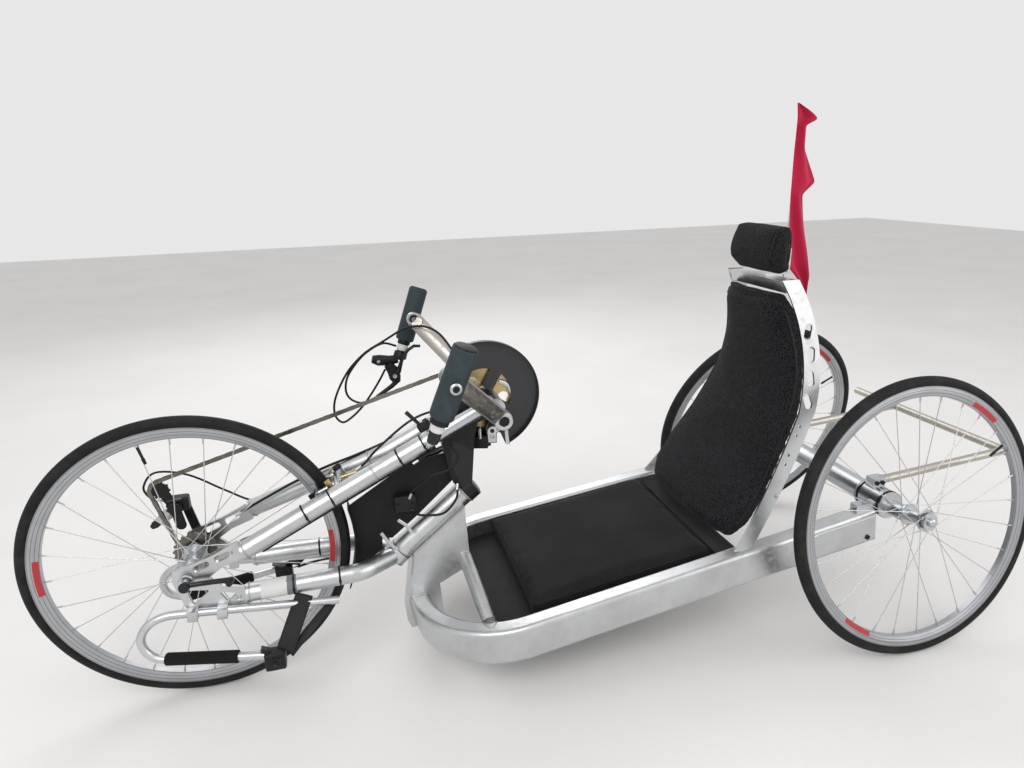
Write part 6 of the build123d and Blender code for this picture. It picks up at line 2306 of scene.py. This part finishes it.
@dataclass
class FootSupport:
    """One foot support: foam sleeve, heel block, tongue and straps."""

    side: Side
    sleeve_low: Point = (0.829, 0.1016, 0.16)
    sleeve_high: Point = (0.695, 0.1357, 0.1614)
    sleeve_end: Rows = ((0.008, 0.0), (0.0102, 0.0), (0.0116, 0.0014), (0.012, 0.0045))
    sleeve_waist: float = 0.0119
    heel: Point = (0.629, 0.15, 0.152)
    heel_size: Point = (0.038, 0.026, 0.038)
    straps: tuple[tuple[Point, Point, float], ...] = (
        ((0.567, 0.08, 0.238), (0.611, 0.152, 0.164), 0.034), ((0.522, 0.086, 0.206), (0.604, 0.153, 0.156), 0.016))
    loop: tuple[Point, ...] = (
        (0.503, 0.088, 0.214), (0.6, 0.088, 0.224), (0.7, 0.088, 0.2345), (0.785, 0.088, 0.243), (0.822, 0.0885, 0.244),
        (0.85, 0.09, 0.233), (0.8655, 0.0925, 0.212), (0.8655, 0.095, 0.189), (0.853, 0.0985, 0.17),
        (0.829, 0.103, 0.1605), (0.78, 0.115, 0.1602), (0.7, 0.1345, 0.1612), (0.64, 0.149, 0.162))
    loop_radius: float = 0.008
    clamps: Rows = ((0.771, 0.24), (0.719, 0.235))
    clamp_size: Point = (0.019, 0.024, 0.022)
    clamp_tilt: float = -0.1
    bow: tuple[float, float] = (0.0022, 0.0012)
    strap_used: float = 0.965
    strap_wall: float = 0.002
    tongue_at: Point = (0.012, 0.0, 0.0205)
    tongue_size: Point = (0.026, 0.02, 0.003)
    tongue_tilt: float = -0.5
    cheek_at: Point = (-0.004, 0.0135, 0.0)
    cheek_size: Point = (0.02, 0.003, 0.02)
    heel_bolt_y: float = 0.0146

    def at(self, point: Sequence[float]) -> Vector:
        """The point on this support's side."""
        return mirrored(point, self.side)

    def strap(self, number: int, row: tuple[Point, Point, float]) -> bpy.types.Object:
        """Webbing strip between two points, slightly bowed.

        Args:
            number: its number on this side.
            row: its upper end, its lower end and its width.

        Returns:
            The strap.
        """
        high, low, width = self.at(row[0]), self.at(row[1]), row[2]
        run = low - high
        across = run.cross(Vector((1, 0, 0))).cross(run).normalized()
        out = run.cross(across).normalized()
        if out.y * self.side.value < 0:
            out = -out
        bm = bmesh.new()
        bmesh.ops.create_grid(bm, x_segments=20, y_segments=6, size=0.5)
        for vert in bm.verts:
            along, side = vert.co.x + 0.5, vert.co.y
            bow = self.bow[0] * math.sin(math.pi * along) + self.bow[1] * math.cos(2 * math.pi * side)
            vert.co = high + run * (0.02 + 0.96 * along) + across * (side * width) + out * bow
        recalc(bm)
        name = "foot_strap_" + self.side.name.lower() + "_" + str(number)
        piece = add_piece(name, bm, Body.FRONT, STRAP_CLOTH, "mesh_cloth", 80.0)
        wall = piece.modifiers.new("wall", "SOLIDIFY")
        wall.thickness = self.strap_wall
        wall.offset = 0.0
        return piece

    def build_loop(self) -> bpy.types.Object:
        """Bent tube that carries the support, and the two blocks that clamp it under the dropout.

        Returns:
            The loop.
        """
        bm = join_lines([line_mesh(smoothed([self.at(point) for point in self.loop]), self.loop_radius, False, False,
                                   5)])
        for x, z in self.clamps:
            place = Matrix.Translation(self.at((x, self.loop[0][1], z))) @ Matrix.Rotation(self.clamp_tilt, 4, "Y")
            brick(bm, place, self.clamp_size, 0.0015)
        bmesh.ops.recalc_face_normals(bm, faces=bm.faces)
        return add_piece("foot_loop_" + self.side.name.lower(), bm, Body.FRONT, BRUSHED, "brushed_alloy")

    def build(self) -> bpy.types.Object:
        """Sleeve, block and straps of this side.

        Returns:
            The sleeve and heel block.
        """
        loop = self.build_loop()
        if self.side is Side.LEFT:
            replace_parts(loop, "foot_loops")
        bm = bmesh.new()
        low, high = self.at(self.sleeve_low), self.at(self.sleeve_high)
        length = (high - low).length
        rows = [*self.sleeve_end, (self.sleeve_waist, length / 2)]
        rows += [(radius, length - height) for radius, height in reversed(self.sleeve_end)]
        turned(bm, rows, facing(low, high - low), 32)
        heel = self.at(self.heel)
        brick(bm, Matrix.Translation(heel), self.heel_size, 0.004, 3, 1)
        tongue = Matrix.Translation(heel + Vector(self.tongue_at)) @ Matrix.Rotation(self.tongue_tilt, 4, "Y")
        brick(bm, tongue, self.tongue_size, 0.001, 2, 2)
        brick(bm, Matrix.Translation(heel + self.at(self.cheek_at)), self.cheek_size, 0.001, 2, 1)
        socket_bolt(bm, heel + self.at((0.0, self.heel_bolt_y, 0.0)), (0, self.side.value, 0), 0.0046, 0.003, 2)
        piece = add_piece("foot_pad_" + self.side.name.lower(), bm, Body.FRONT, (FOAM, BLACK, GLOSS_BLACK), "foam")
        for number, row in enumerate(self.straps):
            strap = self.strap(number, row)
            if self.side is Side.LEFT and number == 0:
                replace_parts(strap, "heel_straps")
        return piece


# Stage

@dataclass
class Stage:
    """Floor, lights, world and the camera at the photograph's place."""

    camera_at: Point = (0.44216, 1.27388, 1.03327)
    right: Point = (-0.96501, 0.26104, -0.0247)
    up: Point = (-0.10414, -0.29509, 0.94978)
    forward: Point = (-0.24064, -0.91912, -0.31195)
    lens: float = 23.21
    sensor: float = 36.0
    backdrop: Colour = (0.8, 0.8, 0.8)
    ambient: float = 0.72
    floor_size: float = 9.0
    floor_z: float = -0.0005
    lamps: tuple[tuple[str, Point, Point, float, float], ...] = (
        ("key", (1.6, 2.4, 2.8), (0.1, 0.0, 0.4), 2.2, 50.0), ("fill", (-2.4, 2.0, 1.9), (-0.4, 0.0, 0.4), 2.6, 30.0),
        ("back", (0.2, -2.6, 2.6), (0.0, 0.0, 0.4), 2.6, 36.0))

    def build_camera(self) -> None:
        """Camera from its three axes."""
        data = bpy.data.cameras.new("camera")
        data.lens = self.lens
        data.sensor_width = self.sensor
        data.clip_start = 0.02
        camera = bpy.data.objects.new("camera", data)
        bpy.context.collection.objects.link(camera)
        axes = Matrix((self.right, self.up, tuple(-part for part in self.forward))).transposed()
        camera.matrix_world = Matrix.Translation(self.camera_at) @ axes.to_4x4()
        bpy.context.scene.camera = camera

    def add_light(self, name: str, at: Point, target: Point, size: float, power: float) -> None:
        """Add a square area light aimed at a point.

        Args:
            name: the lamp's name.
            at: its place.
            target: what it faces.
            size: its side.
            power: its power in watts.
        """
        data = bpy.data.lights.new(name, "AREA")
        data.size = size
        data.energy = power
        light = bpy.data.objects.new(name, data)
        bpy.context.collection.objects.link(light)
        light.location = at
        light.rotation_euler = (Vector(target) - Vector(at)).to_track_quat("-Z", "Y").to_euler()

    def build_world(self) -> None:
        """Even light for the object, and the plain backdrop for camera, gloss and glass."""
        world = bpy.data.worlds.new("world")
        bpy.context.scene.world = world
        world.use_nodes = True
        nodes, links = world.node_tree.nodes, world.node_tree.links
        nodes.clear()
        paths = nodes.new("ShaderNodeLightPath")
        light = nodes.new("ShaderNodeBackground")
        light.inputs["Color"].default_value = (1.0, 1.0, 1.0, 1.0)
        light.inputs["Strength"].default_value = self.ambient
        seen = nodes.new("ShaderNodeBackground")
        seen.inputs["Color"].default_value = (*self.backdrop, 1.0)
        first = nodes.new("ShaderNodeMath")
        first.operation = "MAXIMUM"
        second = nodes.new("ShaderNodeMath")
        second.operation = "MAXIMUM"
        links.new(paths.outputs["Is Camera Ray"], first.inputs[0])
        links.new(paths.outputs["Is Glossy Ray"], first.inputs[1])
        links.new(first.outputs[0], second.inputs[0])
        links.new(paths.outputs["Is Transmission Ray"], second.inputs[1])
        mix = nodes.new("ShaderNodeMixShader")
        links.new(second.outputs[0], mix.inputs[0])
        links.new(light.outputs[0], mix.inputs[1])
        links.new(seen.outputs[0], mix.inputs[2])
        output = nodes.new("ShaderNodeOutputWorld")
        links.new(mix.outputs[0], output.inputs[0])

    def build(self) -> None:
        """Everything that isn't part of the object."""
        bm = bmesh.new()
        bmesh.ops.create_grid(bm, x_segments=1, y_segments=1, size=self.floor_size)
        mesh = bpy.data.meshes.new("floor")
        bm.to_mesh(mesh)
        bm.free()
        mesh.materials.append(Floor("floor_finish").material())
        floor = bpy.data.objects.new("floor", mesh)
        bpy.context.collection.objects.link(floor)
        floor.location = (0.0, 0.0, self.floor_z)
        self.build_camera()
        self.build_world()
        for lamp in self.lamps:
            self.add_light(*lamp)
        bpy.context.scene.view_settings.view_transform = "Standard"


def main() -> None:
    """Build the stage and every sub-assembly."""
    logging.basicConfig(level=logging.INFO, format="%(message)s")
    Stage().build()
    Wheels().build()
    Drive().build()
    Cranks().build()
    LeverCables().build()
    FrameDetails().build()
    FrontDetails().build()
    Seat().build()
    Flag().build()
    pads = [FootSupport(side).build() for side in Side]
    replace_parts(pads[0], "foot_pads")


if __name__ == "__main__":
    main()
